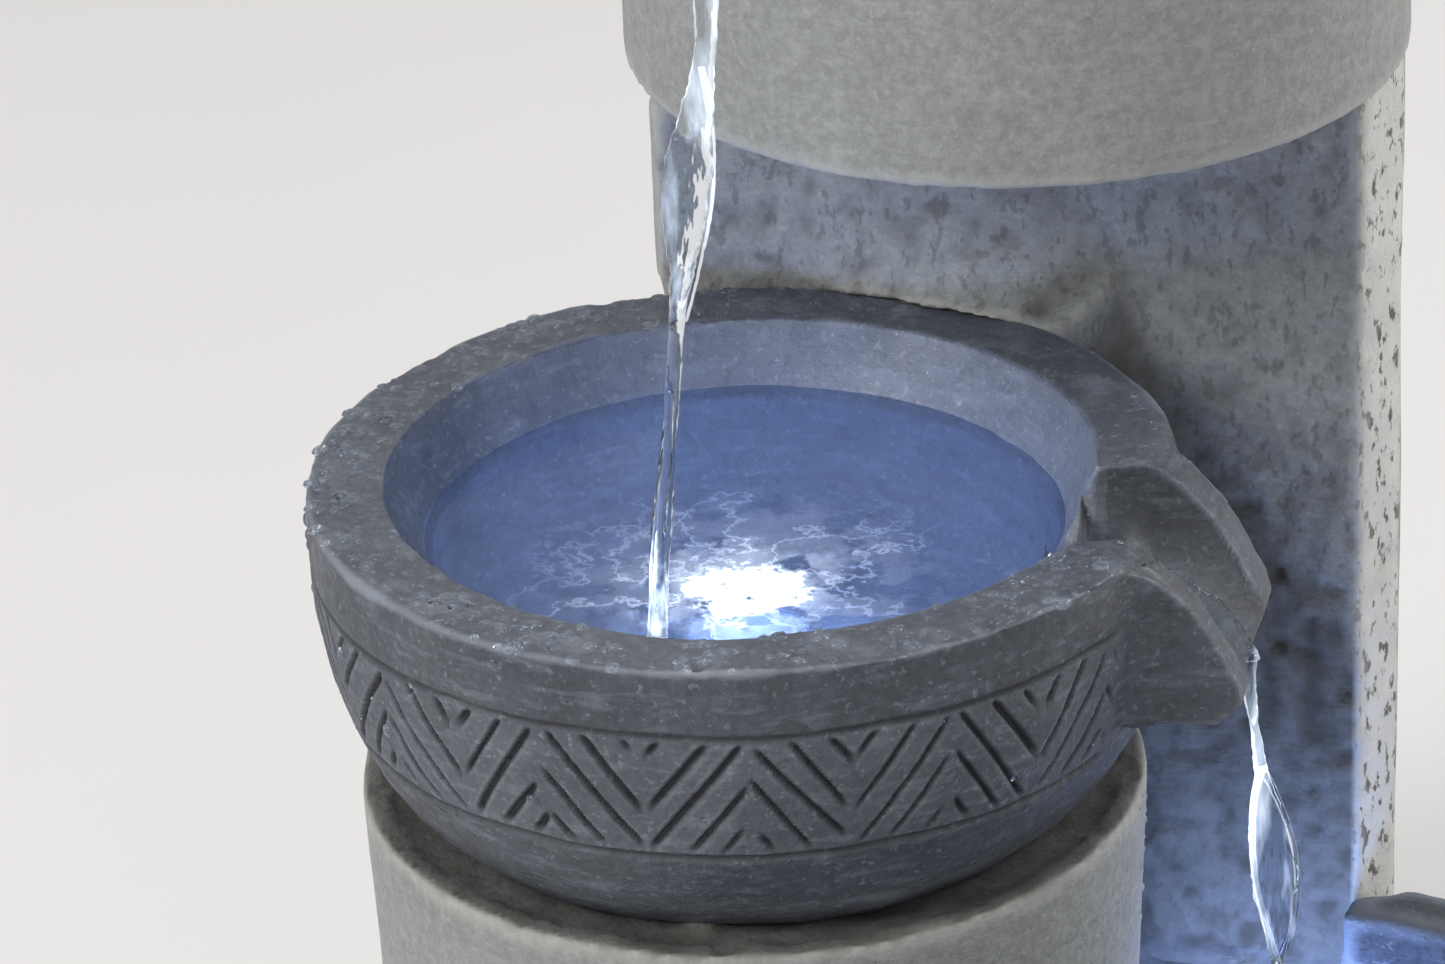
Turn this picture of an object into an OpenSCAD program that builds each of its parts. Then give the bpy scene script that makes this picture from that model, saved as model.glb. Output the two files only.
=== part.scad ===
// Tabletop water fountain: three tiers cast in resin stone, with its pump and lights.
// Plan positions are worked out from the middle bowl's axis and then moved to the
// fountain's own origin, which is the middle of its footprint on the table.

/* [Bowls] */
// Outer radius of the flat rim of the middle and upper bowls
bowl_r = 85; // [80:1:90]
// Width of the flat rim band
rim_band = 15; // [13:1:17]
// Height of a bowl from its foot to its rim
bowl_h = 68; // [66:1:72]
// Depth of the bowl floor under the rim
bowl_depth = 42; // [38:1:44]
// Radius of the foot that a bowl stands on
foot_r = 54; // [50:1:58]
// Outside width of the spout
spout_w = 48; // [44:1:50]
// Width of the water channel in the spout
channel_w = 30; // [26:1:32]
// How far the spout's tip reaches from the bowl's axis
spout_reach = 100; // [98:1:104]
// Direction of the middle bowl's spout, in degrees from +X
middle_spout_az = -12; // [-20:1:-4]
// Direction of the upper bowl's spout, in degrees from +X
upper_spout_az = -126; // [-134:1:-118]

/* [Columns] */
// Radius of both columns at their tops
column_r = 78; // [76:1:80]
// Radius of the lower column where it stands in the basin
column_foot_r = 73; // [72:1:76]
// Wall thickness of the hollow columns
column_wall = 7; // [6:0.5:8]
// Height of the lower column's top edge
lower_top = 136; // [134:1:138]
// Height of the cut under the full round part of the back column
cut_z = 262; // [256:1:270]
// Height of the back column's top edge
upper_top = 348; // [346:1:352]
// Radius of the hollowed front of the back column
hollow_r = 107; // [106:0.5:108]
// Half the width of the access door, in degrees round the back column
door_half = 27; // [20:1:30]

/* [Basin] */
// Outer radius of the basin's rim
basin_r = 128; // [124:1:132]
// Height of the basin's rim
basin_top = 68; // [64:1:72]
// Thickness of the basin's floor
floor_t = 10; // [8:1:10]
// Height of the rubber feet
pad_h = 3; // [2:0.5:4]

/* [Pump] */
// Outside diameter of the riser tube
tube_d = 11; // [10:0.5:12]
// Radius of the pump shaft
shaft_r = 1; // [1:0.1:1.2]
// Height of the pump shaft above the basin's floor
pump_axis_h = 20; // [19:1:24]

/* [Lights] */
// Radius of a light's housing
light_r = 15; // [13:0.5:15.5]
// Height of a light's housing
light_h = 10; // [9:0.5:12]
// Diameter of the internal leads
lead_d = 4; // [3:0.5:4]

/* [Hidden] */
$fn = 96;
glue = 0.2;
fine = 32;

// Plan layout, measured from the middle bowl's axis
back = [58, 65];
hollow_c = [38, -6];
basin_c = [81, -58];
chamber_az = atan2(back[1] - hollow_c[1], back[0] - hollow_c[0]);
chamber_d = norm(back - hollow_c);
origin = [(basin_c[0] + basin_r - bowl_r) / 2, (basin_c[1] - basin_r + back[1] + bowl_r) / 2];

// Heights
deck_t = 9;
floor_z = pad_h + floor_t;
lower_deck = lower_top - 4.2;
middle_rim = lower_deck + glue + bowl_h;
upper_deck = upper_top - 4.2;
upper_rim = upper_deck + glue + bowl_h;
end_face_y = 55;
left_end_x = -14.5;

// Light, nozzle and pump details
light_sink = 7;
lead_r = lead_d / 2;
lead_bore = lead_r + 2;
nozzle_at = back + 27 * [cos(upper_spout_az + 180), sin(upper_spout_az + 180)];
basin_light_at = [104, 16];
tube_r = tube_d / 2;
tube_bore = tube_r - 1.1;
nozzle_r = tube_bore - 0.4;
pump_r = chamber_d + column_r - column_wall - 17.76;
pump_z = floor_z + pump_axis_h;
nozzle_off = 5.3;

// Door
door_lo = 74;
door_hi = 182;
door_skin = 4.5;
door_gap = 0.4;
door_rim = 4;
door_mid = (door_lo + door_hi) / 2;
magnet_at = [door_lo + 14, door_hi - 14];
door_back_r = column_r - door_skin + 0.3;
plug_r = column_r - column_wall + 1;
magnet_r = column_r - column_wall - 0.3;

// ---------- Places ----------

module in_frame() {
    translate([-origin[0], -origin[1], 0]) children();
}

// Local X points outward from the hollow's axis through the back column, Y to its left
module in_chamber(turn = 0) {
    in_frame() translate(hollow_c) rotate(chamber_az + turn) children();
}

// The same as in_chamber, but about the back column's own axis
module about_back(turn = 0) {
    in_frame() translate(back) rotate(chamber_az + turn) children();
}

// The pump's shaft lies along local Z here, pointing to its intake end
module on_pump_axis() {
    in_chamber() translate([pump_r, 0, pump_z]) rotate([90, 0, 0]) children();
}

// A point of the chamber's own frame as a point of the plan
function chamber_point(r, t, z) = [
    hollow_c[0] + r * cos(chamber_az) - t * sin(chamber_az),
    hollow_c[1] + r * sin(chamber_az) + t * cos(chamber_az),
    z
];

// ---------- Shared shapes ----------

// A ring or, with a bore of 0, a disc
module ring(r, bore, h) {
    difference() {
        cylinder(r = r, h = h);
        if (bore > 0) translate([0, 0, -1]) cylinder(r = bore, h = h + 2);
    }
}

// A block between two radii, within half degrees of local X
module arc_block(r_in, r_out, half, z_lo, z_hi) {
    translate([0, 0, z_lo]) rotate(-half) rotate_extrude(angle = 2 * half)
        translate([r_in, 0]) square([r_out - r_in, z_hi - z_lo]);
}

// A tube swept along points, as one closed mesh; bore 0 makes it solid
function unit(v) = v / norm(v);
function tangent(p, i) = unit(p[min(i + 1, len(p) - 1)] - p[max(i - 1, 0)]);
function side(t) = unit(cross(t, [0.94, 0.34, 0]));
function round_ring(c, t, r, n) = let (a = side(t), b = cross(t, a))
    [for (k = [0:n - 1]) c + r * (cos(360 * k / n) * a + sin(360 * k / n) * b)];

module swept_tube(p, r, n, bore = 0) {
    m = len(p);
    outer = [for (i = [0:m - 1]) each round_ring(p[i], tangent(p, i), r, n)];
    inner = [for (i = [0:m - 1]) each round_ring(p[i], tangent(p, i), bore, n)];
    skin = [for (i = [0:m - 2], k = [0:n - 1]) let (a = i * n + k, b = i * n + (k + 1) % n)
        [a, b, b + n, a + n]];
    if (bore > 0) {
        o = m * n;
        lining = [for (i = [0:m - 2], k = [0:n - 1])
            let (a = o + i * n + k, b = o + i * n + (k + 1) % n) [a, a + n, b + n, b]];
        start = [for (k = [0:n - 1]) let (b = (k + 1) % n) [k, o + k, o + b, b]];
        last = (m - 1) * n;
        end = [for (k = [0:n - 1]) let (b = (k + 1) % n)
            [last + k, last + b, o + last + b, o + last + k]];
        polyhedron(concat(outer, inner), concat(skin, lining, start, end));
    } else {
        start = [[for (k = [n - 1:-1:0]) k]];
        end = [[for (k = [0:n - 1]) (m - 1) * n + k]];
        polyhedron(outer, concat(skin, start, end));
    }
}

// Points on a smooth curve through hand-set points (Catmull-Rom)
function curve_at(a, b, c, d, t) = 0.5 * (2 * b + (c - a) * t
    + (2 * a - 5 * b + 4 * c - d) * t * t + (3 * b - a - 3 * c + d) * t * t * t);
function smooth(p, n) = let (m = len(p)) concat(
    [for (i = [0:m - 2], k = [0:n - 1])
        curve_at(p[max(i - 1, 0)], p[i], p[i + 1], p[min(i + 2, m - 1)], k / n)],
    [p[m - 1]]);

// ---------- Bowls ----------

rim_flat = 12;
arc_steps = 8;
outer_wall = [for (i = [0:arc_steps]) let (a = 90 * i / arc_steps)
    [foot_r + (bowl_r - foot_r) * cos(a), -rim_flat - (bowl_h - rim_flat) * sin(a)]];
lip_r = bowl_r - rim_band;
floor_r = 38;
throat = [lip_r - 9, -14];
inner_wall = [for (i = [0:arc_steps]) let (a = 90 * i / arc_steps)
    [floor_r + (throat[0] - floor_r) * cos(a), throat[1] - (bowl_depth + throat[1]) * sin(a)]];

// Everything inside a bowl's outer wall, grown by extra
module bowl_envelope(extra) {
    rotate_extrude()
        polygon(concat([[0, extra], [bowl_r + extra, extra]],
            [for (p = outer_wall) p + [extra, 0]], [[0, -bowl_h]]));
}

// Side view of the spout, from inside the rim to its drooping tip
spout_side = [
    [lip_r, 0], [78, -1], [84, -5], [90, -12], [95, -20.5], [spout_reach - 1, -28.5],
    [spout_reach, -32.5], [spout_reach - 5, -37], [88, -37], [79, -40], [lip_r, -36]
];
channel_floor = 28;
channel_c = [71, -13 - channel_floor];

module spout() {
    rotate([90, 0, 0]) translate([0, 0, -spout_w / 2])
        linear_extrude(spout_w) polygon(spout_side);
}

// The channel's round floor bends down about an axis under the spout
module spout_channel() {
    half = channel_w / 2;
    translate([channel_c[0], 0, channel_c[1]]) rotate([90, 0, 0]) rotate(-12)
        rotate_extrude(angle = 112) {
            translate([channel_floor + half, 0]) circle(r = half);
            translate([channel_floor + half, -half]) square([40, channel_w]);
        }
}

module bowl(spout_az) {
    difference() {
        union() {
            bowl_envelope(0);
            rotate(spout_az) spout();
        }
        rotate_extrude()
            polygon(concat([[0, 1], [lip_r, 1], [lip_r, 0]], inner_wall, [[0, -bowl_depth]]));
        rotate(spout_az) spout_channel();
        translate([0, 0, -bowl_depth - light_sink]) cylinder(r = light_r + 0.8, h = 20);
        translate([0, 0, -bowl_h - 1]) cylinder(r = lead_bore, h = bowl_h);
    }
}

module middle_bowl() {
    color([0.27, 0.29, 0.32]) in_frame() translate([0, 0, middle_rim]) bowl(middle_spout_az);
}

module upper_bowl() {
    color([0.27, 0.29, 0.32]) in_frame() difference() {
        translate([back[0], back[1], upper_rim]) bowl(upper_spout_az);
        translate([nozzle_at[0], nozzle_at[1], upper_deck - 1]) cylinder(r = 6, h = bowl_h);
    }
}

// ---------- Columns ----------

module lower_body(extra) {
    translate([0, 0, floor_z + glue])
        cylinder(r1 = column_foot_r + extra, r2 = column_r + extra,
            h = lower_top - floor_z - glue);
}

// Passage for the middle light's lead, from the lower column into the back column
module lead_passage() {
    translate([-7, 60, 105]) rotate([-90, 0, -14]) cylinder(r = 5, h = 50, $fn = fine);
}

module lower_column() {
    inner = column_foot_r - column_wall;
    color([0.58, 0.59, 0.58]) in_frame() difference() {
        lower_body(0);
        translate([0, 0, floor_z - 1])
            cylinder(r = inner, h = lower_deck - deck_t - floor_z + 1);
        translate([0, 0, lower_deck]) cylinder(r = column_r - 5, h = 10);
        cylinder(r = lead_bore, h = lower_top);
        lead_passage();
    }
}

// Plan of the lower part of the back column: round outside, scooped flat in front
scoop_c = [-59.8, -433];
scoop_r = 522;
module hollowed_plan(z_lo, z_hi) {
    difference() {
        translate([back[0], back[1], z_lo]) cylinder(r = column_r, h = z_hi - z_lo);
        translate([scoop_c[0], scoop_c[1], z_lo - 1]) cylinder(r = scoop_r, h = z_hi, $fn = 600);
        translate([left_end_x - 50, 0, z_lo - 1]) cube([50, 150, z_hi]);
        translate([0, end_face_y - 80, z_lo - 1]) cube([180, 80, z_hi]);
    }
}

// The wall that joins the two columns behind the basin, below the middle bowl
web_r = 96;
module joining_web() {
    difference() {
        translate([back[0], back[1], floor_z + glue])
            cylinder(r = column_r, h = lower_top - floor_z);
        translate([hollow_c[0], hollow_c[1], 0]) cylinder(r = web_r, h = lower_top + 1);
        translate([8, 0, 0]) cube([200, 200, lower_top + 1]);
        lower_body(0.3);
    }
}

// The shelf between the bowl's back rim and the hollowed wall
shelf_lo = lower_top + 0.3;
shelf_az = [42, 99];
module shelf() {
    difference() {
        translate([0, 0, shelf_lo]) rotate(shelf_az[0])
            rotate_extrude(angle = shelf_az[1] - shelf_az[0])
                polygon([[60, 0], [120, 0], [120, middle_rim + 10 - shelf_lo],
                    [104, middle_rim + 6 - shelf_lo], [90, middle_rim - shelf_lo],
                    [60, middle_rim - shelf_lo]]);
        translate([hollow_c[0], hollow_c[1], 0])
            ring(200, hollow_r + 3, 400);
        translate([0, 0, middle_rim]) bowl_envelope(0.3);
    }
}

// The room behind the hollowed wall, which holds the pump, the tube and the leads
module chamber() {
    difference() {
        translate([back[0], back[1], floor_z])
            cylinder(r = column_r - column_wall, h = cut_z + 12 - floor_z);
        translate([hollow_c[0], hollow_c[1], 0]) cylinder(r = hollow_r + column_wall, h = 400);
    }
}

screen_turn = -21;
screen_w = 24;
screen_lo = floor_z + 4;
screen_h = 28;
lead_turn = 15;

module back_column() {
    color([0.60, 0.60, 0.59]) difference() {
        union() {
            in_frame() hollowed_plan(floor_z + glue, cut_z + 1);
            in_frame() translate([back[0], back[1], cut_z])
                cylinder(r = column_r, h = upper_top - cut_z);
            in_frame() joining_web();
            in_frame() shelf();
        }
        in_frame() chamber();
        in_frame() translate([back[0], back[1], cut_z + 8])
            cylinder(r = column_r - column_wall, h = upper_deck - deck_t - cut_z - 8);
        in_frame() translate([back[0], back[1], upper_deck])
            cylinder(r = column_r - 5, h = 10);
        in_frame() translate([back[0], back[1], upper_deck - 20])
            cylinder(r = lead_bore, h = 30);
        in_frame() translate([nozzle_at[0], nozzle_at[1], upper_deck - 20])
            cylinder(r = 6, h = 30);
        in_frame() lead_passage();
        in_frame() translate([0, 0, middle_rim]) bowl_envelope(0.3);
        about_back() arc_block(60, 90, door_half - door_rim, door_lo + door_rim,
            door_hi - door_rim);
        about_back() arc_block(column_r - door_skin, 90, door_half, door_lo, door_hi);
        in_chamber(screen_turn) translate([70, -screen_w / 2, screen_lo])
            cube([50, screen_w, screen_h]);
        in_chamber(lead_turn) translate([70, 0, floor_z + 4]) rotate([0, 90, 0])
            cylinder(r = 3, h = 50, $fn = fine);
        about_back(gland_turn) translate([60, 0, gland_z]) rotate([0, 90, 0])
            cylinder(r = gland_r, h = 30);
    }
}

// ---------- Access door ----------

module door_shell(r_in, r_out, gap) {
    about_back() arc_block(r_in, r_out, door_half - gap * 0.8, door_lo + gap, door_hi - gap);
}

module access_door() {
    color([0.60, 0.60, 0.59]) difference() {
        union() {
            door_shell(door_back_r, column_r, door_gap);
            about_back() arc_block(plug_r, door_back_r + 0.3, door_half - door_rim - 0.5,
                door_lo + door_rim + door_gap, door_hi - door_rim - door_gap);
        }
        about_back() translate([60, 0, door_mid]) rotate([0, 90, 0]) cylinder(r = 2.1, h = 30);
        for (z = magnet_at)
            about_back() translate([magnet_r - 2, 0, z]) rotate([0, 90, 0])
                cylinder(r = 4.1, h = 4.6, $fn = fine);
    }
}

module door_knob() {
    color([0.30, 0.30, 0.31]) about_back() translate([column_r + 0.1, 0, door_mid])
        rotate([0, 90, 0]) difference() {
            rotate_extrude() polygon([[0, 0], [4, 0], [4, 2.5], [7.5, 4.5], [8, 6.5],
                [6.5, 8.3], [0, 9]]);
            translate([0, 0, -1]) cylinder(r = 1.5, h = 7, $fn = fine);
        }
}

module door_knob_screw() {
    color([0.75, 0.75, 0.76]) about_back() translate([plug_r - 0.1, 0, door_mid])
        rotate([0, 90, 0]) {
            translate([0, 0, -2]) difference() {
                cylinder(r = 3.2, h = 2, $fn = fine);
                translate([-4, -0.4, -0.1]) cube([8, 0.8, 0.9]);
            }
            cylinder(r = 1.45, h = column_r + 5.8 - plug_r, $fn = fine);
        }
}

module door_magnets() {
    color([0.70, 0.70, 0.72]) for (z = magnet_at)
        about_back() translate([magnet_r, 0, z]) rotate([0, 90, 0])
            cylinder(r = 4, h = 2.5, $fn = fine);
}

// Steel tabs fixed above and below the opening, which the door's magnets hold on to
tab_w = 18;
tab_h = 26;
module strike_plates() {
    color([0.70, 0.71, 0.72]) about_back() for (z = [door_lo - 6, door_hi + 6 - tab_h])
        translate([magnet_r - 1.4, -tab_w / 2, z]) cube([1, tab_w, tab_h]);
}

// ---------- Pump ----------

pump_d = 24;
pump_h = 30;
motor_l = 26;
well_r = 5.6;
spigot_r = 10.6;
volute_l = 9;
volute_r = 11.9;
shaft_lo = -motor_l + 2.3;
shaft_hi = volute_l - 1.6;

module pump_block(w, h, l, c) {
    linear_extrude(l) polygon([[-w / 2 + c, -h / 2], [w / 2 - c, -h / 2], [w / 2, -h / 2 + c],
        [w / 2, h / 2 - c], [w / 2 - c, h / 2], [-w / 2 + c, h / 2], [-w / 2, h / 2 - c],
        [-w / 2, -h / 2 + c]]);
}

module pump_housing() {
    color([0.13, 0.13, 0.14]) on_pump_axis() difference() {
        union() {
            translate([0, 0, -motor_l]) pump_block(pump_d, pump_h, motor_l, 3);
            cylinder(r = spigot_r, h = 2.6);
            for (x = [-1, 1], z = [-1, 1])
                translate([x * 7, -pump_h / 2, z * 8 - motor_l / 2]) rotate([90, 0, 0])
                    cylinder(r = 2, h = 2.2, $fn = fine);
        }
        translate([0, 0, -motor_l + 4]) cylinder(r = well_r, h = motor_l + 5);
        translate([0, 0, -motor_l + 2]) cylinder(r = 2.4, h = 5, $fn = fine);
        translate([0, 0, 0.8]) cylinder(r = 9.5, h = 4);
        translate([0, 8, -motor_l - 1]) cylinder(r = lead_r + 0.1, h = 5, $fn = fine);
    }
}

module shaft_bush_rear() {
    color([0.2, 0.2, 0.2]) on_pump_axis() translate([0, 0, -motor_l + 2.1])
        ring(2.3, shaft_r, 2.6, $fn = fine);
}

module shaft_bush_front() {
    color([0.2, 0.2, 0.2]) on_pump_axis() translate([0, 0, shaft_hi - 1.8])
        ring(2.2, shaft_r, 1.8, $fn = fine);
}

module pump_shaft() {
    color([0.93, 0.93, 0.90]) on_pump_axis() translate([0, 0, shaft_lo])
        cylinder(r = shaft_r, h = shaft_hi - shaft_lo, $fn = fine);
}

module rotor_magnet() {
    color([0.25, 0.25, 0.27]) on_pump_axis() translate([0, 0, -motor_l + 6])
        ring(well_r - 0.6, shaft_r + 0.05, 17, $fn = fine);
}

module impeller() {
    color([0.90, 0.90, 0.88]) on_pump_axis() translate([0, 0, -2.9])
        difference() {
            union() {
                cylinder(r = 3, h = 7, $fn = fine);
                translate([0, 0, 2.9]) cylinder(r = 5, h = 1.3, $fn = fine);
                for (k = [0:5]) rotate(60 * k)
                    translate([2, -0.5, 4.1]) cube([6.3, 1, 3]);
            }
            translate([0, 0, -1]) cylinder(r = shaft_r + 0.05, h = 10, $fn = fine);
        }
}

module volute_seal() {
    color([0.10, 0.10, 0.10]) on_pump_axis() translate([0, 0, 0.7]) rotate_extrude()
        translate([spigot_r + 0.7, 0]) circle(r = 0.6, $fn = 24);
}

// The cover of the impeller's chamber, with its intake eye in front and its nozzle on top
module volute_cover() {
    boss_z = shaft_hi - 2.2;
    color([0.15, 0.15, 0.16]) on_pump_axis() difference() {
        union() {
            translate([0, 0, 1.8]) cylinder(r = volute_r, h = volute_l - 1.8);
            translate([0, volute_r - 1, nozzle_off]) rotate([-90, 0, 0])
                cylinder(r = nozzle_r, h = pump_h / 2 + 11 - volute_r);
        }
        translate([0, 0, 1]) cylinder(r = spigot_r + 0.1, h = 2);
        difference() {
            translate([0, 0, 2.8]) cylinder(r = 9.2, h = volute_l - 4.2);
            translate([0, 0, boss_z]) cylinder(r = 3, h = 10);
        }
        difference() {
            translate([0, 0, 3]) cylinder(r = 5, h = volute_l);
            translate([0, 0, boss_z]) cylinder(r = 3, h = 10);
            translate([-6, -0.8, volute_l - 1.3]) cube([12, 1.6, 10]);
        }
        translate([0, 0, boss_z - 1]) cylinder(r = 2.25, h = shaft_hi - boss_z + 1.05, $fn = fine);
        translate([0, 2, nozzle_off]) rotate([-90, 0, 0]) cylinder(r = nozzle_r - 1, h = 30);
    }
}

strainer_lo = volute_l + 0.5;
strainer_d = 20;
strainer_l = 10;
dial_r = 8;
module strainer_cover() {
    color([0.15, 0.15, 0.16]) on_pump_axis() translate([0, 0, strainer_lo]) difference() {
        pump_block(strainer_d, pump_h, strainer_l, 3);
        translate([0, 0, -1]) pump_block(strainer_d - 4, pump_h - 4, strainer_l - 1, 2.5);
        for (x = [-6:3:6]) translate([x - 0.7, -20, 2]) cube([1.4, 40, strainer_l - 5.5]);
        for (s = [-1, 1]) translate([s * 4.4 - 1, -4, strainer_l - 3]) cube([2, 8, 5]);
        translate([0, 0, strainer_l - 3]) cylinder(r = 1.6, h = 5, $fn = fine);
    }
}

module flow_dial() {
    color([0.22, 0.22, 0.23]) on_pump_axis() translate([0, 0, strainer_lo + strainer_l + 0.3])
        difference() {
            union() {
                cylinder(r = dial_r, h = 1.6);
                translate([0, 0, -3]) cylinder(r = 1.55, h = 4, $fn = fine);
                translate([-0.9, -dial_r + 1, 1.5]) cube([1.8, dial_r * 2 - 2, 1.9]);
            }
            for (s = [-1, 1]) translate([s * 4.4 - 1, -4, -1]) cube([2, 8, 4]);
        }
}

module suction_cups() {
    color([0.16, 0.16, 0.16, 0.9]) on_pump_axis() for (x = [-1, 1], z = [-1, 1])
        translate([x * 7, -pump_h / 2 - 2.2, z * 8 - motor_l / 2]) rotate([90, 0, 0])
            rotate_extrude($fn = fine)
                polygon([[0, 0], [2.6, 0], [2.6, 1], [4.6, 2.7], [0, 2.7]]);
}

// ---------- Water path ----------

pump_outlet = chamber_point(pump_r, -nozzle_off, pump_z + pump_h / 2 + 1);
riser_points = smooth([
    pump_outlet,
    pump_outlet + [0, 0, 12],
    pump_outlet + [0, 0, 70],
    pump_outlet + [0, 0, 130],
    chamber_point(pump_r, -nozzle_off, 228),
    chamber_point(pump_r, -nozzle_off, 250),
    chamber_point(pump_r - 1, -6, 263),
    chamber_point(pump_r - 7, -7, 278),
    chamber_point(pump_r - 22, -9, 291),
    [nozzle_at[0], nozzle_at[1], 302],
    [nozzle_at[0], nozzle_at[1], 309],
    [nozzle_at[0], nozzle_at[1], 317]
], 4);

module riser_tube() {
    color([0.85, 0.88, 0.90, 0.6]) in_frame() swept_tube(riser_points, tube_r, 12, tube_bore);
}

module hose_clip(z) {
    translate([0, 0, z]) ring(tube_r + 1.5, tube_r + 0.1, 6);
    for (s = [-1, 1]) translate([tube_r + 0.8, s * 1.6 - 0.6, z]) cube([6, 1.2, 6]);
}

module hose_clips() {
    color([0.72, 0.73, 0.74]) {
        in_frame() translate([pump_outlet[0], pump_outlet[1], 0])
            hose_clip(pump_outlet[2] + 1);
        in_frame() translate([nozzle_at[0], nozzle_at[1], 0]) hose_clip(309);
    }
}

nipple_lo = 306;
nipple_hi = upper_rim - bowl_depth;
module outlet_nipple() {
    color([0.17, 0.17, 0.18]) in_frame() translate([nozzle_at[0], nozzle_at[1], 0])
        difference() {
            union() {
                translate([0, 0, nipple_lo]) cylinder(r = nozzle_r, h = 14);
                translate([0, 0, 319]) cylinder(r = 5.5, h = nipple_hi + 10 - 319);
                translate([0, 0, nipple_hi + 1.2]) cylinder(r = 9, h = 2.5);
            }
            cylinder(r = nozzle_r - 1.2, h = 500);
        }
}

module nipple_washer() {
    color([0.10, 0.10, 0.10]) in_frame() translate([nozzle_at[0], nozzle_at[1], nipple_hi + 0.1])
        ring(8.6, 5.6, 1);
}

module nipple_nut() {
    color([0.17, 0.17, 0.18]) in_frame()
        translate([nozzle_at[0], nozzle_at[1], upper_deck - deck_t - 6.2]) difference() {
            cylinder(r = 9, h = 6, $fn = 6);
            translate([0, 0, -1]) cylinder(r = 5.6, h = 8);
        }
}

module diffuser_cap() {
    color([0.19, 0.19, 0.20]) in_frame()
        translate([nozzle_at[0], nozzle_at[1], nipple_hi + 4]) difference() {
            rotate_extrude() polygon([[0, 0], [10, 0], [10, 9], [8, 12], [0, 13]]);
            translate([0, 0, -1]) cylinder(r = 5.7, h = 8);
            translate([0, 0, 6]) cylinder(r = 8, h = 4);
            for (k = [0:7]) rotate(45 * k) translate([4, -1, 6.5]) cube([10, 2, 3]);
        }
}

module intake_screen() {
    color([0.16, 0.16, 0.17]) in_chamber(screen_turn)
        translate([hollow_r + 3, -screen_w / 2 + 0.3, screen_lo + 0.3]) difference() {
            cube([2, screen_w - 0.6, screen_h - 0.6]);
            for (y = [3:3:20]) translate([-1, y - 0.8, 3]) cube([4, 1.6, screen_h - 6.6]);
        }
}

// ---------- Lights ----------

// A light stands on its housing's floor at z = 0; side_exit is for the one on the basin's floor
module light_housing(side_exit) {
    difference() {
        cylinder(r = light_r, h = light_h);
        translate([0, 0, 2]) cylinder(r = light_r - 2, h = light_h);
        if (side_exit) translate([0, 0, 4.6]) rotate([0, 90, 0])
            cylinder(r = lead_r + 0.1, h = 20, $fn = fine);
        else translate([0, 0, -1]) cylinder(r = lead_r + 0.1, h = 4, $fn = fine);
    }
}

module light_board() {
    translate([0, 0, light_h - 2.6]) {
        cylinder(r = light_r - 2.2, h = 1.2);
        for (k = [0:5]) rotate(60 * k) translate([6, -1.5, 1]) cube([3, 3, 1]);
    }
}

module light_lens() {
    translate([0, 0, light_h + 0.1]) difference() {
        rotate_extrude() polygon([[0, 0], [light_r, 0], [light_r, 1.2], [light_r - 3, 3],
            [light_r - 8, 4], [0, 4.3]]);
        translate([0, 0, -0.1]) cylinder(r = light_r - 2.5, h = 1.5);
    }
}

module light_seal() {
    translate([0, 0, light_h - 3]) ring(light_r + 0.7, light_r + 0.05, 2.4);
}

light_base = bowl_depth + light_sink;
module middle_light() {
    in_frame() translate([0, 0, middle_rim - light_base]) children();
}

module upper_light() {
    in_frame() translate([back[0], back[1], upper_rim - light_base]) children();
}

module basin_light() {
    in_frame() translate([basin_light_at[0], basin_light_at[1], floor_z + glue])
        rotate(basin_light_turn) children();
}
basin_light_turn = 82;

housing_tint = [0.15, 0.15, 0.16];
board_tint = [0.92, 0.93, 0.90];
lens_tint = [0.88, 0.94, 1.0, 0.5];
seal_tint = [0.08, 0.08, 0.08];

module middle_light_housing() { color(housing_tint) middle_light() light_housing(false); }
module middle_light_board() { color(board_tint) middle_light() light_board(); }
module middle_light_lens() { color(lens_tint) middle_light() light_lens(); }
module middle_light_seal() { color(seal_tint) middle_light() light_seal(); }
module upper_light_housing() { color(housing_tint) upper_light() light_housing(false); }
module upper_light_board() { color(board_tint) upper_light() light_board(); }
module upper_light_lens() { color(lens_tint) upper_light() light_lens(); }
module upper_light_seal() { color(seal_tint) upper_light() light_seal(); }
module basin_light_housing() { color(housing_tint) basin_light() light_housing(true); }
module basin_light_board() { color(board_tint) basin_light() light_board(); }
module basin_light_lens() { color(lens_tint) basin_light() light_lens(); }
module basin_light_seal() { color(seal_tint) basin_light() light_seal(); }

// ---------- Leads, splice box and gland ----------

box_w = 30;
box_d = 14;
box_h = 24;
box_r = hollow_r + column_wall + 2.5;
box_t = 21;
box_lo = 196;

module splice_box() {
    color([0.12, 0.12, 0.13]) in_chamber() translate([box_r, box_t - box_w / 2, box_lo])
        difference() {
            cube([box_d, box_w, box_h]);
            translate([-0.1, 2, 3]) cube([0.8, box_w - 4, 0.8]);
            translate([-0.1, 2, box_h - 3.8]) cube([0.8, box_w - 4, 0.8]);
        }
}

lead_x = box_r + 5;
pump_lead_route = smooth([
    chamber_point(pump_r, motor_l - 2, pump_z + 8),
    chamber_point(pump_r, motor_l + 5, pump_z + 9),
    chamber_point(pump_r - 3, motor_l + 9, pump_z + 24),
    chamber_point(124, 36, 90),
    chamber_point(124, 36, 130),
    chamber_point(124, 30, 168),
    chamber_point(lead_x, 15, 184),
    chamber_point(lead_x, 13, box_lo - 0.2)
], 4);

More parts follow.
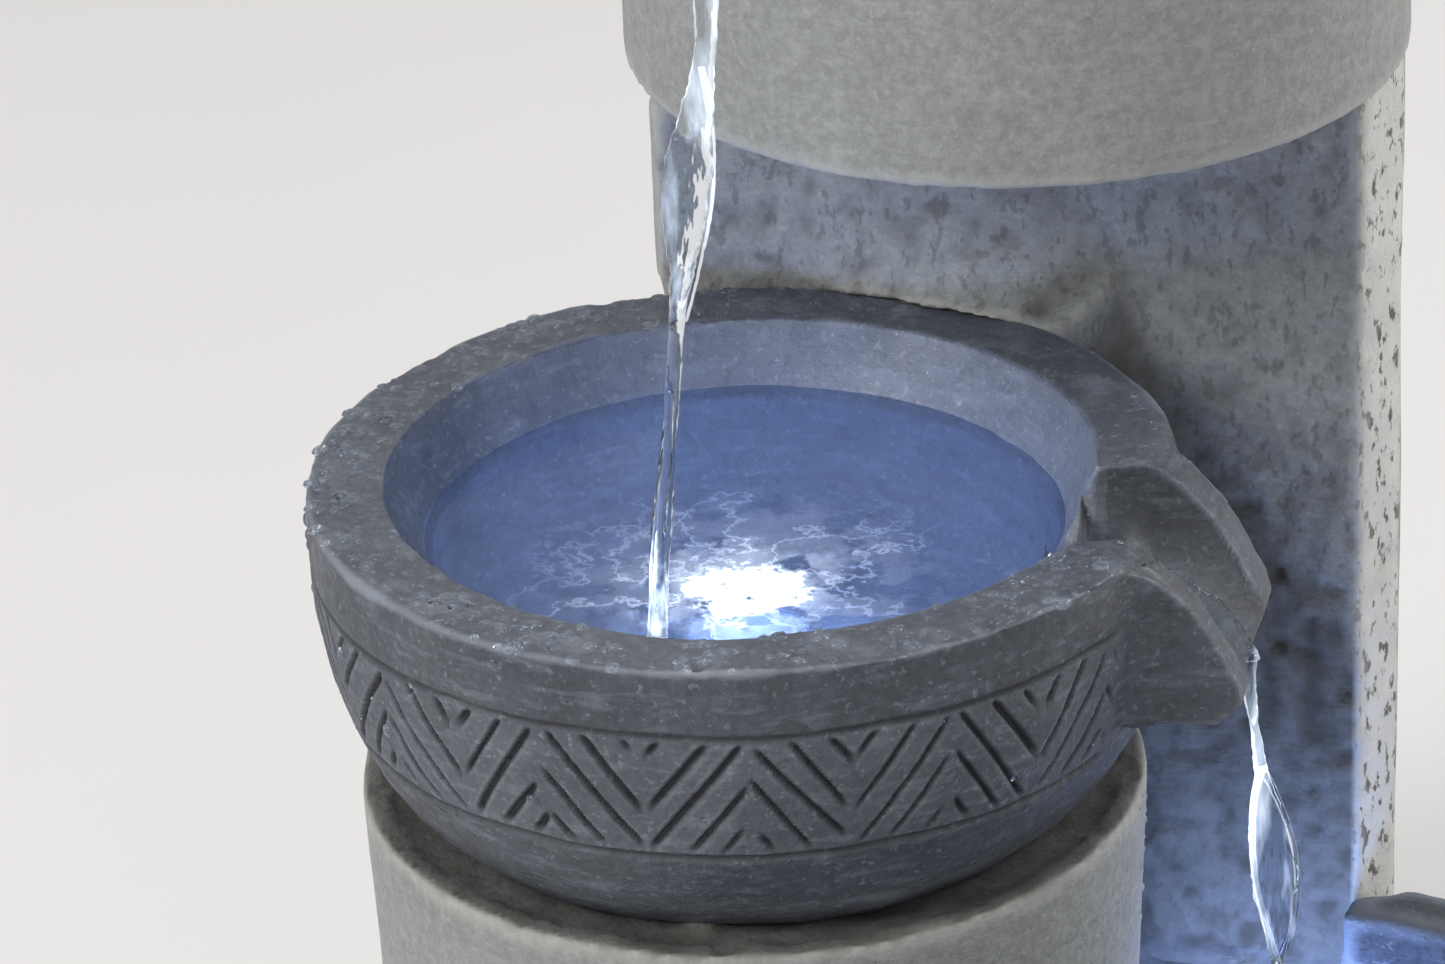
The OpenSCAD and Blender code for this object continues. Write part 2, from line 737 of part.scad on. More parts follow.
middle_lead_route = smooth([
    [0, 0, middle_rim - light_base + 1.8],
    [0, 0, middle_rim - light_base - 12],
    [0, 0, lower_deck - 4],
    [0, 0.5, lower_deck - 11],
    [-2, 14, 112],
    [-7, 40, 106],
    [-7, 60, 105],
    [-2, 80, 105],
    [3, 100, 105.2],
    [6, 108, 109],
    [9, 112, 122],
    [11, 112, 140],
    chamber_point(115, 44, 166),
    chamber_point(lead_x, 33, 184),
    chamber_point(lead_x, 31, box_lo - 0.2)
], 3);

upper_lead_route = smooth([
    [back[0], back[1], upper_rim - light_base + 1.8],
    [back[0], back[1], upper_rim - light_base - 14],
    [back[0] - 1, back[1] + 1, upper_deck - 14],
    [back[0] - 4, back[1] + 12, 314],
    [back[0] - 8, back[1] + 34, 290],
    chamber_point(127, 22, 264),
    chamber_point(127, 22, 244),
    chamber_point(lead_x, 20, 230),
    chamber_point(lead_x, 20, box_lo + box_h + 0.2)
], 4);

light_out = basin_light_at + (light_r - 1) * [cos(basin_light_turn), sin(basin_light_turn)];
light_gone = basin_light_at + (light_r + 12) * [cos(basin_light_turn), sin(basin_light_turn)];
basin_lead_z = floor_z + 4.8;
pass_az = chamber_az + lead_turn;
inner_pass = [for (r = [83, 92, 106, 119])
    [hollow_c[0] + r * cos(pass_az), hollow_c[1] + r * sin(pass_az), floor_z + 4]];
basin_lead_route = smooth([
    [light_out[0], light_out[1], basin_lead_z],
    [light_gone[0], light_gone[1], floor_z + 3.6],
    [96, 57, floor_z + 2.4],
    [76, 65, floor_z + 2.4],
    [56, 68, floor_z + 2.6],
    [44, 70.5, floor_z + 3.4],
    inner_pass[0],
    inner_pass[1],
    inner_pass[2],
    inner_pass[3],
    chamber_point(120, 36, floor_z + 8),
    chamber_point(119, 44, floor_z + 24),
    chamber_point(118, 45, 90),
    chamber_point(118, 44, 140),
    chamber_point(120, 32, 172),
    chamber_point(lead_x, 23.5, 186),
    chamber_point(lead_x, 22, box_lo - 0.2)
], 3);

module lead(route) {
    in_frame() swept_tube(route, lead_r, 8);
}

module pump_lead() { color([0.08, 0.08, 0.08]) lead(pump_lead_route); }
module middle_light_lead() { color([0.08, 0.08, 0.08]) lead(middle_lead_route); }
module upper_light_lead() { color([0.08, 0.08, 0.08]) lead(upper_lead_route); }
module basin_light_lead() { color([0.08, 0.08, 0.08]) lead(basin_lead_route); }

// Clips on the back of the hollowed wall, each with a ring that the riser tube passes through
clip_z = [110, 180];
clip_h = 8;
clip_base = hollow_r + column_wall + 0.2;
module lead_clips() {
    color([0.85, 0.85, 0.84]) in_chamber() translate([0, -nozzle_off, 0]) for (z = clip_z) {
        difference() {
            translate([clip_base, -9, z]) cube([1.6, 18, clip_h]);
            for (s = [-1, 1]) translate([clip_base - 1, s * 6.5, z + clip_h / 2])
                rotate([0, 90, 0]) cylinder(r = 1.2, h = 5, $fn = fine);
        }
        translate([clip_base + 1.5, -2, z])
            cube([pump_r - tube_r - 0.8 - clip_base - 1.5, 4, clip_h]);
        translate([pump_r, 0, z]) ring(tube_r + 1.6, tube_r + 0.1, clip_h);
    }
}

gland_turn = -44;
gland_z = 204;
gland_r = 5;
gland_bore = 3;
module cord_gland() {
    color([0.09, 0.09, 0.09]) about_back(gland_turn)
        translate([column_r - column_wall, 0, gland_z]) rotate([0, 90, 0])
            difference() {
                union() {
                    translate([0, 0, -2.4]) cylinder(r = 7.5, h = 1.8);
                    translate([0, 0, -1]) cylinder(r = gland_r - 0.1, h = column_wall + 2);
                    translate([0, 0, column_wall + 0.3]) cylinder(r = 7.5, h = 1.8);
                }
                translate([0, 0, -5]) cylinder(r = gland_bore, h = 30);
            }
}

// ---------- Basin and feet ----------

ring_from = 182;
ring_to = 428.5;
basin_arc = [for (i = [0:6]) let (a = 90 * i / 6)
    [basin_r - 20 + 20 * cos(a), basin_top - 9 - (basin_top - 9 - pad_h) * sin(a)]];

module basin() {
    color([0.27, 0.28, 0.31]) in_frame() difference() {
        union() {
            translate([basin_c[0], basin_c[1], 0]) rotate(ring_from)
                rotate_extrude(angle = ring_to - ring_from)
                    polygon(concat([[basin_r, basin_top]], basin_arc,
                        [[90, pad_h], [90, floor_z - 1], [98, floor_z], [105, floor_z + 8],
                        [109, basin_top - 17], [basin_r - rim_band, basin_top]]));
            translate([basin_c[0], basin_c[1], pad_h]) cylinder(r = 97, h = floor_t);
            translate([0, 0, pad_h]) cylinder(r = column_foot_r, h = floor_t);
            translate([back[0], back[1], pad_h]) cylinder(r = column_r, h = floor_t);
            translate([-20, 0, pad_h]) cube([140, 70, floor_t]);
        }
        lower_room();
        back_room();
    }
}

// Room over the slab for the feet of the two columns
module lower_room() {
    translate([0, 0, floor_z + 0.05]) cylinder(r1 = column_foot_r + 0.3,
        r2 = column_r + 0.3, h = lower_top - floor_z);
}

module back_room() {
    intersection() {
        translate([back[0], back[1], floor_z + 0.05]) cylinder(r = column_r + 0.3, h = 120);
        translate([0, end_face_y - 0.3, floor_z + 0.05]) cube([180, 120, 120]);
    }
}

pad_points = concat(
    [for (a = [205, 250, 295, 340, 385]) basin_c + 92 * [cos(a), sin(a)]],
    [[-50, 10], [2, 98], [52, 125], [112, 96]]);
module rubber_feet() {
    color([0.12, 0.12, 0.12]) in_frame() for (p = pad_points)
        translate([p[0], p[1], 0]) cylinder(r = 9, h = pad_h - 0.1);
}

basin();
lower_column();
middle_bowl();
back_column();
upper_bowl();
access_door();
door_knob();
door_knob_screw();
door_magnets();
strike_plates();
pump_housing();
shaft_bush_rear();
shaft_bush_front();
pump_shaft();
rotor_magnet();
impeller();
volute_seal();
volute_cover();
strainer_cover();
flow_dial();
suction_cups();
riser_tube();
hose_clips();
outlet_nipple();
nipple_washer();
nipple_nut();
diffuser_cap();
intake_screen();
middle_light_housing();
middle_light_board();
middle_light_lens();
middle_light_seal();
upper_light_housing();
upper_light_board();
upper_light_lens();
upper_light_seal();
basin_light_housing();
basin_light_board();
basin_light_lens();
basin_light_seal();
pump_lead();
middle_light_lead();
upper_light_lead();
basin_light_lead();
splice_box();
lead_clips();
cord_gland();
rubber_feet();
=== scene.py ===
import math

import bpy
import bmesh
import numpy as np
from mathutils import Euler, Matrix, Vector


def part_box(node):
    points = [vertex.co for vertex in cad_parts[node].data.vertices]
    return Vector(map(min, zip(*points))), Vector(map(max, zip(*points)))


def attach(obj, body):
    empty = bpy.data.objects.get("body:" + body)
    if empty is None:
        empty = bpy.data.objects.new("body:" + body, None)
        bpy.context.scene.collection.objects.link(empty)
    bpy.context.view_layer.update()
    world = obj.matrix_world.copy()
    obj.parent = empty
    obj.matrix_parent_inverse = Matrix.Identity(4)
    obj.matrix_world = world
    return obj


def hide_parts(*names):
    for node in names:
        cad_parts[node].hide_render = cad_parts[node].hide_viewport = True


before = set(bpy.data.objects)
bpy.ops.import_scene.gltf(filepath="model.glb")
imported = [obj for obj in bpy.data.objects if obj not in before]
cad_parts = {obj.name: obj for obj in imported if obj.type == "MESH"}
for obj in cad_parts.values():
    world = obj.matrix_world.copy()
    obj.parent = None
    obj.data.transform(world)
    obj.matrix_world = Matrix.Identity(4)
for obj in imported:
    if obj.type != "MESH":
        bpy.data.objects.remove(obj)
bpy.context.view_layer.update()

# ---------- Where the fountain stands, the camera and the lamps ----------
# The middle bowl's axis, the back column's axis and the rims give every place.
# One long lens looks down on the middle bowl from the front.
# Big soft lamps light it from the left and from behind on the right.
MM = 0.001


def middle_of(node):
    lo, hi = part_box(node)
    return (lo + hi) / 2


bowl_axis = middle_of("middle_light_board")
back_axis = middle_of("upper_light_board")
middle_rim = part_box("middle_bowl")[1].z
upper_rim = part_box("upper_bowl")[1].z


def plan(x, y, z):
    """A point measured in millimetres from the middle bowl's axis, with its height"""
    return Vector((bowl_axis.x + x * MM, bowl_axis.y + y * MM, z * MM))


camera_data = bpy.data.cameras.new("camera")
camera_data.sensor_width = 36
camera_data.lens = 159.1
camera_data.clip_end = 50
camera = bpy.data.objects.new("camera", camera_data)
bpy.context.collection.objects.link(camera)
bpy.context.scene.camera = camera
look_down = math.radians(26.22)
camera_roll = math.radians(-2.27)
camera_away = 1.2411
camera_aim = Vector((bowl_axis.x - 0.0041, bowl_axis.y, middle_rim - 0.0027))
camera.location = camera_aim + camera_away * Vector((0, -math.cos(look_down), math.sin(look_down)))
camera.rotation_euler = (
    Euler((math.radians(90) - look_down, 0, 0)).to_matrix()
    @ Euler((0, 0, camera_roll)).to_matrix()
).to_euler()

world = bpy.data.worlds.new("studio")
bpy.context.scene.world = world
world.use_nodes = True
background = world.node_tree.nodes["Background"]
background.inputs["Color"].default_value = (0.80, 0.79, 0.785, 1)
background.inputs["Strength"].default_value = 0.60
bpy.context.scene.view_settings.view_transform = "Standard"


def add_lamp(name, kind, place, watts, colour):
    """Puts a lamp into the scene"""
    data = bpy.data.lights.new(name, kind)
    data.energy = watts
    data.color = colour
    lamp = bpy.data.objects.new(name, data)
    bpy.context.collection.objects.link(lamp)
    lamp.location = place
    return lamp


def soft_lamp(name, place, aim, size, watts, colour):
    """A round soft lamp turned toward its aim"""
    lamp = add_lamp(name, "AREA", place, watts, colour)
    lamp.data.shape = "DISK"
    lamp.data.size = size
    lamp.rotation_euler = (Vector(aim) - Vector(place)).to_track_quat("-Z", "Y").to_euler()


soft_lamp("left_lamp", (-1.5, -0.9, 1.3), (0, 0, 0.2), 0.9, 21, (1, 0.99, 0.97))
soft_lamp("right_back_lamp", (1.5, 0.5, 1.1), (0, 0.05, 0.2), 0.8, 15, (1, 0.99, 0.98))
soft_lamp("top_lamp", (-0.2, 0.3, 2.0), (0, 0, 0.2), 1.2, 11, (1, 1, 1))


# ---------- Studio floor ----------
# A pale painted board that the fountain stands on. It isn't part of the object.
# It fills the view, and its paint is very slightly mottled.


def add_piece(name, mesh):
    """Puts a mesh into the scene under its name"""
    mesh.name = name
    piece = bpy.data.objects.new(name, mesh)
    bpy.context.collection.objects.link(piece)
    return piece


def mesh_of(shape, name):
    """Keeps a worked shape as a mesh"""
    mesh = bpy.data.meshes.new(name)
    shape.to_mesh(mesh)
    shape.free()
    return mesh


def new_material(name):
    """A material, its shader, and the place on the piece that its patterns follow"""
    material = bpy.data.materials.new(name)
    material.use_nodes = True
    nodes = material.node_tree.nodes
    place = nodes.new("ShaderNodeTexCoord").outputs["Object"]
    return material, nodes["Principled BSDF"], place


def join(value, socket):
    """Feeds a socket with a fixed value or with what another node gives"""
    if isinstance(value, bpy.types.NodeSocket):
        socket.id_data.links.new(value, socket)
    else:
        socket.default_value = value


def feed(node, values):
    """Feeds several of a node's sockets by their names"""
    for label, value in values.items():
        join(value, node.inputs[label])


def add_noise(place, scale, detail=4.0, roughness=0.55, stretch=(1, 1, 1)):
    """A cloudy pattern of values round a half"""
    mapping = place.id_data.nodes.new("ShaderNodeMapping")
    feed(mapping, {"Vector": place, "Scale": stretch})
    noise = place.id_data.nodes.new("ShaderNodeTexNoise")
    feed(noise, {"Vector": mapping.outputs["Vector"], "Scale": scale, "Detail": detail,
                 "Roughness": roughness})
    return noise.outputs["Fac"]


def add_ramp(value, stops):
    """Turns a pattern's values into colours. A plain number stands for a grey"""
    ramp = value.id_data.nodes.new("ShaderNodeValToRGB")
    elements = ramp.color_ramp.elements
    while len(elements) < len(stops):
        elements.new(0.5)
    for element, (at, colour) in zip(elements, stops):
        element.position = at
        element.color = (*colour, 1) if isinstance(colour, tuple) else (colour, colour, colour, 1)
    join(value, ramp.inputs["Fac"])
    return ramp.outputs["Color"]


floor_side = 24
floor_finish, floor_shader, floor_place = new_material("pale_board")
floor_mottle = add_noise(floor_place, 3)
feed(floor_shader, {
    "Base Color": add_ramp(floor_mottle, [(0.3, (0.70, 0.69, 0.685)), (0.7, (0.72, 0.71, 0.705))]),
    "Roughness": 0.8,
})
floor_shape = bmesh.new()
bmesh.ops.create_grid(floor_shape, x_segments=8, y_segments=8, size=floor_side / 2)
floor = add_piece("studio_floor", mesh_of(floor_shape, "floor"))
floor.data.materials.append(floor_finish)

# ---------- Lower column ----------
# A hollow, slightly tapered drum of pale stone-look resin, cast in a rubber mould.
# Its recessed top is painted dark. The mortar that holds the middle bowl fills the recess,
# and a hardened drop of it stands in front.


def tumble(points, size, seed):
    """Smooth random heights from -1 to 1 at points, with hills of the given size"""
    cells = points / size
    low = np.floor(cells).astype(np.int64)
    part = cells - low
    part = part * part * (3 - 2 * part)
    total = np.zeros(len(points))
    for dx in (0, 1):
        for dy in (0, 1):
            for dz in (0, 1):
                key = (low[:, 0] + dx) * 374761393 + (low[:, 1] + dy) * 668265263
                key = key + (low[:, 2] + dz) * 2147483647 + seed * 144665
                key = (key ^ (key >> 13)) * 1274126177
                key = (key ^ (key >> 16)) & 0xFFFFFF
                corner = key / 0x7FFFFF - 1.0
                weight = (
                    np.where(dx, part[:, 0], 1 - part[:, 0])
                    * np.where(dy, part[:, 1], 1 - part[:, 1])
                    * np.where(dz, part[:, 2], 1 - part[:, 2])
                )
                total += corner * weight
    return total


def rough(points, size, seed, octaves=3):
    """Several sizes of tumble, each half as big and half as high as the last"""
    total = np.zeros(len(points))
    for k in range(octaves):
        total += tumble(points, size / 2**k, seed + k) * 0.5**k
    return total / 1.6


def ease(low, high, value):
    """Climbs smoothly from 0 at the low value to 1 at the high one"""
    t = np.clip((value - low) / (high - low), 0, 1)
    return t * t * (3 - 2 * t)


def recast(name, shapes, voxel):
    """Melts overlapping closed shapes into one casting with evenly spaced points"""
    whole = bmesh.new()
    for shape in shapes:
        whole.from_mesh(shape)
    piece = add_piece(name, mesh_of(whole, name))
    melt = piece.modifiers.new("melt", "REMESH")
    melt.mode = "VOXEL"
    melt.voxel_size = voxel
    melt.use_smooth_shade = True
    layer = bpy.context.evaluated_depsgraph_get()
    cast = bpy.data.meshes.new_from_object(piece.evaluated_get(layer))
    piece.modifiers.clear()
    old = piece.data
    piece.data = cast
    bpy.data.meshes.remove(old)
    cast.name = name
    return piece


def rows_of(collection, label):
    """Three numbers for each point of a mesh"""
    flat = np.empty(len(collection) * 3, dtype=np.float32)
    collection.foreach_get(label, flat)
    return flat.reshape(-1, 3).astype(np.float64)


def points_of(mesh):
    return rows_of(mesh.vertices, "co")


def normals_of(mesh):
    return rows_of(mesh.vertex_normals, "vector")


def move_points(mesh, points):
    mesh.vertices.foreach_set("co", points.astype(np.float32).ravel())
    mesh.update()


def neighbour_mean(mesh, values):
    """The mean of each point's neighbours"""
    pairs = np.empty(len(mesh.edges) * 2, dtype=np.int32)
    mesh.edges.foreach_get("vertices", pairs)
    a, b = pairs.reshape(-1, 2).T
    count = np.bincount(a, minlength=len(values)) + np.bincount(b, minlength=len(values))
    columns = values if values.ndim == 2 else values[:, None]
    mean = np.empty_like(columns)
    for k in range(columns.shape[1]):
        mean[:, k] = np.bincount(a, columns[b, k], len(values)) + np.bincount(
            b, columns[a, k], len(values)
        )
    mean /= np.maximum(count, 1)[:, None]
    return mean if values.ndim == 2 else mean[:, 0]


def smooth_points(mesh, times):
    points = points_of(mesh)
    for _ in range(times):
        points = 0.5 * points + 0.5 * neighbour_mean(mesh, points)
    move_points(mesh, points)


def paint(mesh, name, values):
    """Keeps one number per point for the materials to read"""
    layer = mesh.attributes.new(name, "FLOAT", "POINT")
    layer.data.foreach_set("value", values.astype(np.float32))


def paint_wear(mesh, reach, strength):
    """Finds worn edges, and concave spots to darken, from how sharply the surface turns"""
    points = points_of(mesh)
    around = points
    for _ in range(reach):
        around = neighbour_mean(mesh, around)
    turn = np.einsum("ij,ij->i", points - around, normals_of(mesh)) * strength
    for _ in range(2):
        turn = neighbour_mean(mesh, turn)
    paint(mesh, "edge_wear", np.clip(turn, 0, 1))
    paint(mesh, "concave_darkening", np.clip(-turn, 0, 1))


def cad_shape(node):
    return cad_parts[node].data


def radius_from(points, axis):
    return np.hypot(points[:, 0] - axis.x, points[:, 1] - axis.y)


def azimuth_from(points, axis):
    """Degrees round an upright axis, from the right toward the back"""
    return np.degrees(np.arctan2(points[:, 1] - axis.y, points[:, 0] - axis.x))


def skin(shape, rings, goes_round=False):
    """Closes the faces between rings of points, and caps both ends unless the rings go round"""
    following = rings[1:] + rings[:1] if goes_round else rings[1:]
    for one, two in zip(rings, following):
        for i in range(len(one)):
            j = (i + 1) % len(one)
            shape.faces.new((one[i], two[i], two[j], one[j]))
    if not goes_round:
        shape.faces.new(rings[0])
        shape.faces.new(list(reversed(rings[-1])))


def turned(outline, axis, steps):
    """A closed shape turned about an upright axis from an outline of radius and height in mm"""
    shape = bmesh.new()
    rings = []
    for k in range(steps):
        a = math.radians(360.0 * k / steps)
        rings.append([
            shape.verts.new((axis.x + r * MM * math.cos(a), axis.y + r * MM * math.sin(a), z * MM))
            for r, z in outline
        ])
    skin(shape, rings, goes_round=True)
    bmesh.ops.remove_doubles(shape, verts=shape.verts, dist=1e-7)
    bmesh.ops.recalc_face_normals(shape, faces=shape.faces)
    return mesh_of(shape, "turned")


def add_math(operation, a, b, clamp=False):
    """Works out two numbers of a material, the first of them a pattern"""
    node = a.id_data.nodes.new("ShaderNodeMath")
    node.operation = operation
    node.use_clamp = clamp
    join(a, node.inputs[0])
    join(b, node.inputs[1])
    return node.outputs["Value"]


def add_mix(amount, under, over):
    """Lays a plain colour over a pattern by an amount from 0 to 1"""
    mix = amount.id_data.nodes.new("ShaderNodeMix")
    mix.data_type = "RGBA"
    join(amount, mix.inputs[0])
    join(under, mix.inputs[6])
    join((*over, 1), mix.inputs[7])
    return mix.outputs[2]


def add_bump(height, depth, under=None):
    """Lets a pattern stand out by a depth, over other relief if there is any"""
    bump = height.id_data.nodes.new("ShaderNodeBump")
    feed(bump, {"Strength": 1, "Distance": depth, "Height": height})
    if under:
        join(under, bump.inputs["Normal"])
    return bump.outputs["Normal"]


def stone_finish(name, body, dusty, deep, dusting, wetness, mottling):
    """Cast resin stone: a body colour, dry-brushed edges, dark corners, pits and brush marks.
    The darkened attribute turns it to the deep colour: the wash in recesses, and painted shade on
    the back column's wall. A lightening attribute turns it to dry bare resin, and to painted light
    on the back column's end face and inside the bowls."""
    material, shader, place = new_material(name)

    def attribute(label):
        node = place.id_data.nodes.new("ShaderNodeAttribute")
        node.attribute_name = label
        return node.outputs["Fac"]

    mottle = add_noise(place, 38, 5, 0.6)
    speck = add_noise(place, 420, 3, 0.7)
    brushed = add_noise(place, 230, 4, 0.66, (0.4, 0.4, 1.8))
    base = add_ramp(mottle, [
        (0.32, tuple(c * (1 - mottling) for c in body)),
        (0.52, body),
        (0.72, tuple(c * (1 + mottling) for c in body)),
    ])
    worn = add_math("MULTIPLY", attribute("edge_wear"), add_math("ADD", mottle, 0.25, True), True)
    layers = [
        (add_ramp(speck, [(0.36, 0), (0.62, 1)]), 0.28, deep),
        (add_ramp(brushed, [(0.52, 0), (0.68, 1)]), dusting * 0.42, dusty),
        (add_ramp(add_noise(place, 650, 2, 0.6), [(0.60, 0), (0.72, 1)]), dusting * 0.7, dusty),
        (attribute("dust_and_painted_light"), 1, tuple(min(c * 1.5, 1) for c in dusty)),
        (add_ramp(add_noise(place, 430, 3, 0.6, (1, 1, 0.5)), [(0.56, 0), (0.62, 1)]),
         attribute("pitted"), deep),
        (add_ramp(worn, [(0.12, 0), (0.42, 1)]), dusting, dusty),
        (attribute("concave_darkening"), 0.8, deep),
        (attribute("darkened"), 1, deep),
    ]
    for amount, share, colour in layers:
        base = add_mix(add_math("MULTIPLY", amount, share, True), base, colour)
    patches = add_noise(place, 24, 3, 0.5)
    feed(shader, {
        "Base Color": base,
        "Roughness": add_ramp(patches, [(0.42, 0.62), (0.60, max(0.62 - wetness * 0.4, 0.2))]),
        "Specular IOR Level": 0.45,
        "Normal": add_bump(brushed, 0.00028, add_bump(speck, 0.00038)),
    })
    return material


pale_stone = stone_finish(
    "pale_cast_stone", body=(0.33, 0.345, 0.34), dusty=(0.50, 0.50, 0.48),
    deep=(0.075, 0.070, 0.062), dusting=0.45, wetness=0.15, mottling=0.05,
)
column_voxel = 0.0016
lower_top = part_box("lower_column")[1].z
drip = turned([(0, 132), (2.9, 132.6), (3.0, 136), (2.3, 138.6), (0, 139.8)], plan(-11, -62, 0), 20)
mortar_outline = [(57, 131), (57, 134.2), (66, 134.6), (76.6, 135.1), (76.6, 131)]
mortar = turned(mortar_outline, bowl_axis, 96)
lower_column = recast("lower_column_cast", [cad_shape("lower_column"), mortar, drip], column_voxel)
smooth_points(lower_column.data, 1)
p = points_of(lower_column.data)
n = normals_of(lower_column.data)
from_axis = radius_from(p, bowl_axis)
outer_skin = ease(0.069, 0.072, from_axis) * (p[:, 2] < lower_top - 0.001)
in_recess = ease(0.0778, 0.0768, from_axis) * (p[:, 2] > lower_top - 0.008) * (n[:, 2] > -0.2)
lift = rough(p, 0.035, 11) * 0.00035 * outer_skin + rough(p, 0.006, 12) * 0.00007
lift += in_recess * (rough(p, 0.007, 13) * 0.0008 - ease(0.2, 0.9, rough(p, 0.004, 14)) * 0.0008)
move_points(lower_column.data, p + n * lift[:, None])
paint_wear(lower_column.data, 3, 2200)
lip_r = from_axis[p[:, 2] > lower_top - 0.0015].max()
lip_wash = (p[:, 2] > lower_top - 0.0045) * ease(lip_r - 0.0001, lip_r - 0.0011, from_axis)
wash = np.maximum(in_recess, lip_wash) * (0.72 + 0.28 * rough(p, 0.01, 15))
paint(lower_column.data, "darkened", np.clip(wash, 0, 1))
paint(lower_column.data, "pitted", in_recess * 0.5)
lower_column.data.materials.append(pale_stone)
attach(lower_column, "fountain")
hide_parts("lower_column")

# ---------- Back column ----------
# The tall hollow casting behind the bowls: full round above the cut, and below it
# hollowed in front into a chiselled wall with an open end on the right. A cove runs
# along the middle bowl's back rim. It holds the pump, the tube and the leads.
cut_z = 0.262
end_face_y = bowl_axis.y + 0.055
end_slant = 1.1
scoop_axis = plan(-59.8, -433, 0)
scoop_r = 0.522


def wall_reach(azimuth):
    """How far the scooped wall is from the middle bowl's axis in one direction"""
    a = math.radians(azimuth)
    dx, dy = bowl_axis.x - scoop_axis.x, bowl_axis.y - scoop_axis.y
    half = dx * math.cos(a) + dy * math.sin(a)
    return (-half + math.sqrt(half * half - dx * dx - dy * dy + scoop_r * scoop_r)) / MM


def cove_shape():
    """A flare of the casting that laps over the middle bowl's back rim"""
    front = [(35, 116), (38, 104), (42, 94), (46, 86.5), (49, 81), (53.7, 79.8), (64, 79.6),
             (73.5, 80.8), (85, 84.5), (96, 89), (101, 92)]
    shape = bmesh.new()
    rings = []
    for azimuth in np.linspace(36, 100, 60):
        a = math.radians(azimuth)
        toe = np.interp(azimuth, [f[0] for f in front], [f[1] for f in front])
        wall = wall_reach(azimuth)
        toe = min(toe, wall + 1.5)
        gap = wall - toe
        level = middle_rim / MM
        tall = np.interp(azimuth, [36, 50], [0.35, 1])
        level = level - max(47 - azimuth, 0) * 3.2
        outline = [(wall + 7, level + 0.2), (toe, level + 0.2), (toe + 0.5, level + 1.5),
                   (toe + gap * 0.3, level + 3.0 * tall), (toe + gap * 0.62, level + 8 * tall),
                   (toe + gap * 0.86, level + 16 * tall), (wall - 0.1, level + 27 * tall),
                   (wall + 0.8, level + 40 * tall), (wall + 7, level + 40 * tall)]
        rings.append([shape.verts.new((bowl_axis.x + r * MM * math.cos(a),
                                       bowl_axis.y + r * MM * math.sin(a), z * MM))
                      for r, z in outline])
    skin(shape, rings)
    bmesh.ops.recalc_face_normals(shape, faces=shape.faces)
    return mesh_of(shape, "cove")


back_voxel = 0.0015
back_column = recast("back_column_cast", [cad_shape("back_column"), cove_shape()], back_voxel)
smooth_points(back_column.data, 2)
p = points_of(back_column.data)
past = np.clip(p[:, 0] - bowl_axis.x - 0.1258, 0, 0.012) * (p[:, 2] < cut_z + 0.001)
behind = np.clip((p[:, 1] - end_face_y) / 0.025, -0.2, 1)
p[:, 1] += end_slant * past * (1 - np.clip(behind, 0, 1)) * (behind > -0.15)
move_points(back_column.data, p)
n = normals_of(back_column.data)
from_scoop = radius_from(p, scoop_axis)
from_back = radius_from(p, back_axis)
on_end = (
    (np.abs(p[:, 1] - end_face_y - end_slant * past) < 0.003)
    * ease(0.25, 0.5, -n[:, 1])
    * ease(bowl_axis.x + 0.1248, bowl_axis.x + 0.1262, p[:, 0])
)
on_wall = (
    ease(0.035, 0.030, np.abs(from_scoop - scoop_r))
    * ease(0.15, 0.5, -n[:, 1])
    * (p[:, 2] < cut_z + 0.001)
    * (from_back < 0.0765)
    * (1 - on_end)
)
round_skin = ease(0.0765, 0.0775, from_back) * (1 - on_end)
strokes = rough(p, 0.010, 21)
nicks = ease(0.35, 0.85, rough(p * np.array([0.8, 0.8, 1.2]), 0.0055, 24))
grit = rough(p, 0.0042, 25)
chisel = strokes * 0.0008 + grit * 0.0011 - nicks * 0.0013
calmer = 0.45 + 0.55 * ease(0.21, 0.24, p[:, 2]) + 0.6 * ease(0.19, 0.15, p[:, 2])
pitting = rough(p, 0.003, 26) * 0.0004 - ease(0.45, 0.9, rough(p, 0.005, 27)) * 0.0012
lift = on_wall * chisel * np.clip(calmer, 0, 1.2) + on_end * pitting
lift += round_skin * (rough(p, 0.04, 28) * 0.0005 + rough(p, 0.005, 29) * 0.00006)
under_cut = ease(0.7, 0.95, -n[:, 2]) * (np.abs(p[:, 2] - cut_z) < 0.003)
lift += under_cut * rough(p, 0.006, 30) * 0.0006
move_points(back_column.data, p + n * lift[:, None])
paint_wear(back_column.data, 3, 1900)
# Painted shade on the hollowed wall: a painted shadow below a line that falls toward the right,
# painted shade beside the middle bowl's rim where the gap between them is in shade, and painted
# shade in the chisel nicks and low spots.
across_wall = (p[:, 0] - bowl_axis.x) / MM
painted_shadow_line = middle_rim - 0.021 - np.clip(across_wall - 90, -12, 60) * 0.00137
painted_shadow = ease(0.014, -0.012, p[:, 2] - painted_shadow_line + rough(p, 0.012, 34) * 0.006)
rim_gap_shade = ease(0.030, 0.006, radius_from(p, bowl_axis) - 0.085)
rim_gap_shade = rim_gap_shade * ease(middle_rim, middle_rim - 0.012, p[:, 2])
hollow_shade = on_wall * (
    0.05 + 0.5 * np.clip(-grit, 0, 1) + 0.25 * nicks + 0.72 * painted_shadow + 0.4 * rim_gap_shade
)
paint(back_column.data, "darkened", np.clip(hollow_shade, 0, 1))
paint(back_column.data, "pitted", np.clip(on_end * 0.9 + on_wall * 0.4, 0, 1))
# Painted light: the end face is painted lighter than the rest, a painted highlight where the light
# falls on it.
paint(back_column.data, "dust_and_painted_light", np.clip(on_end * (0.8 + 0.2 * rough(p, 0.006, 35)), 0, 1))
back_column.data.materials.append(pale_stone)
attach(back_column, "fountain")
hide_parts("back_column")

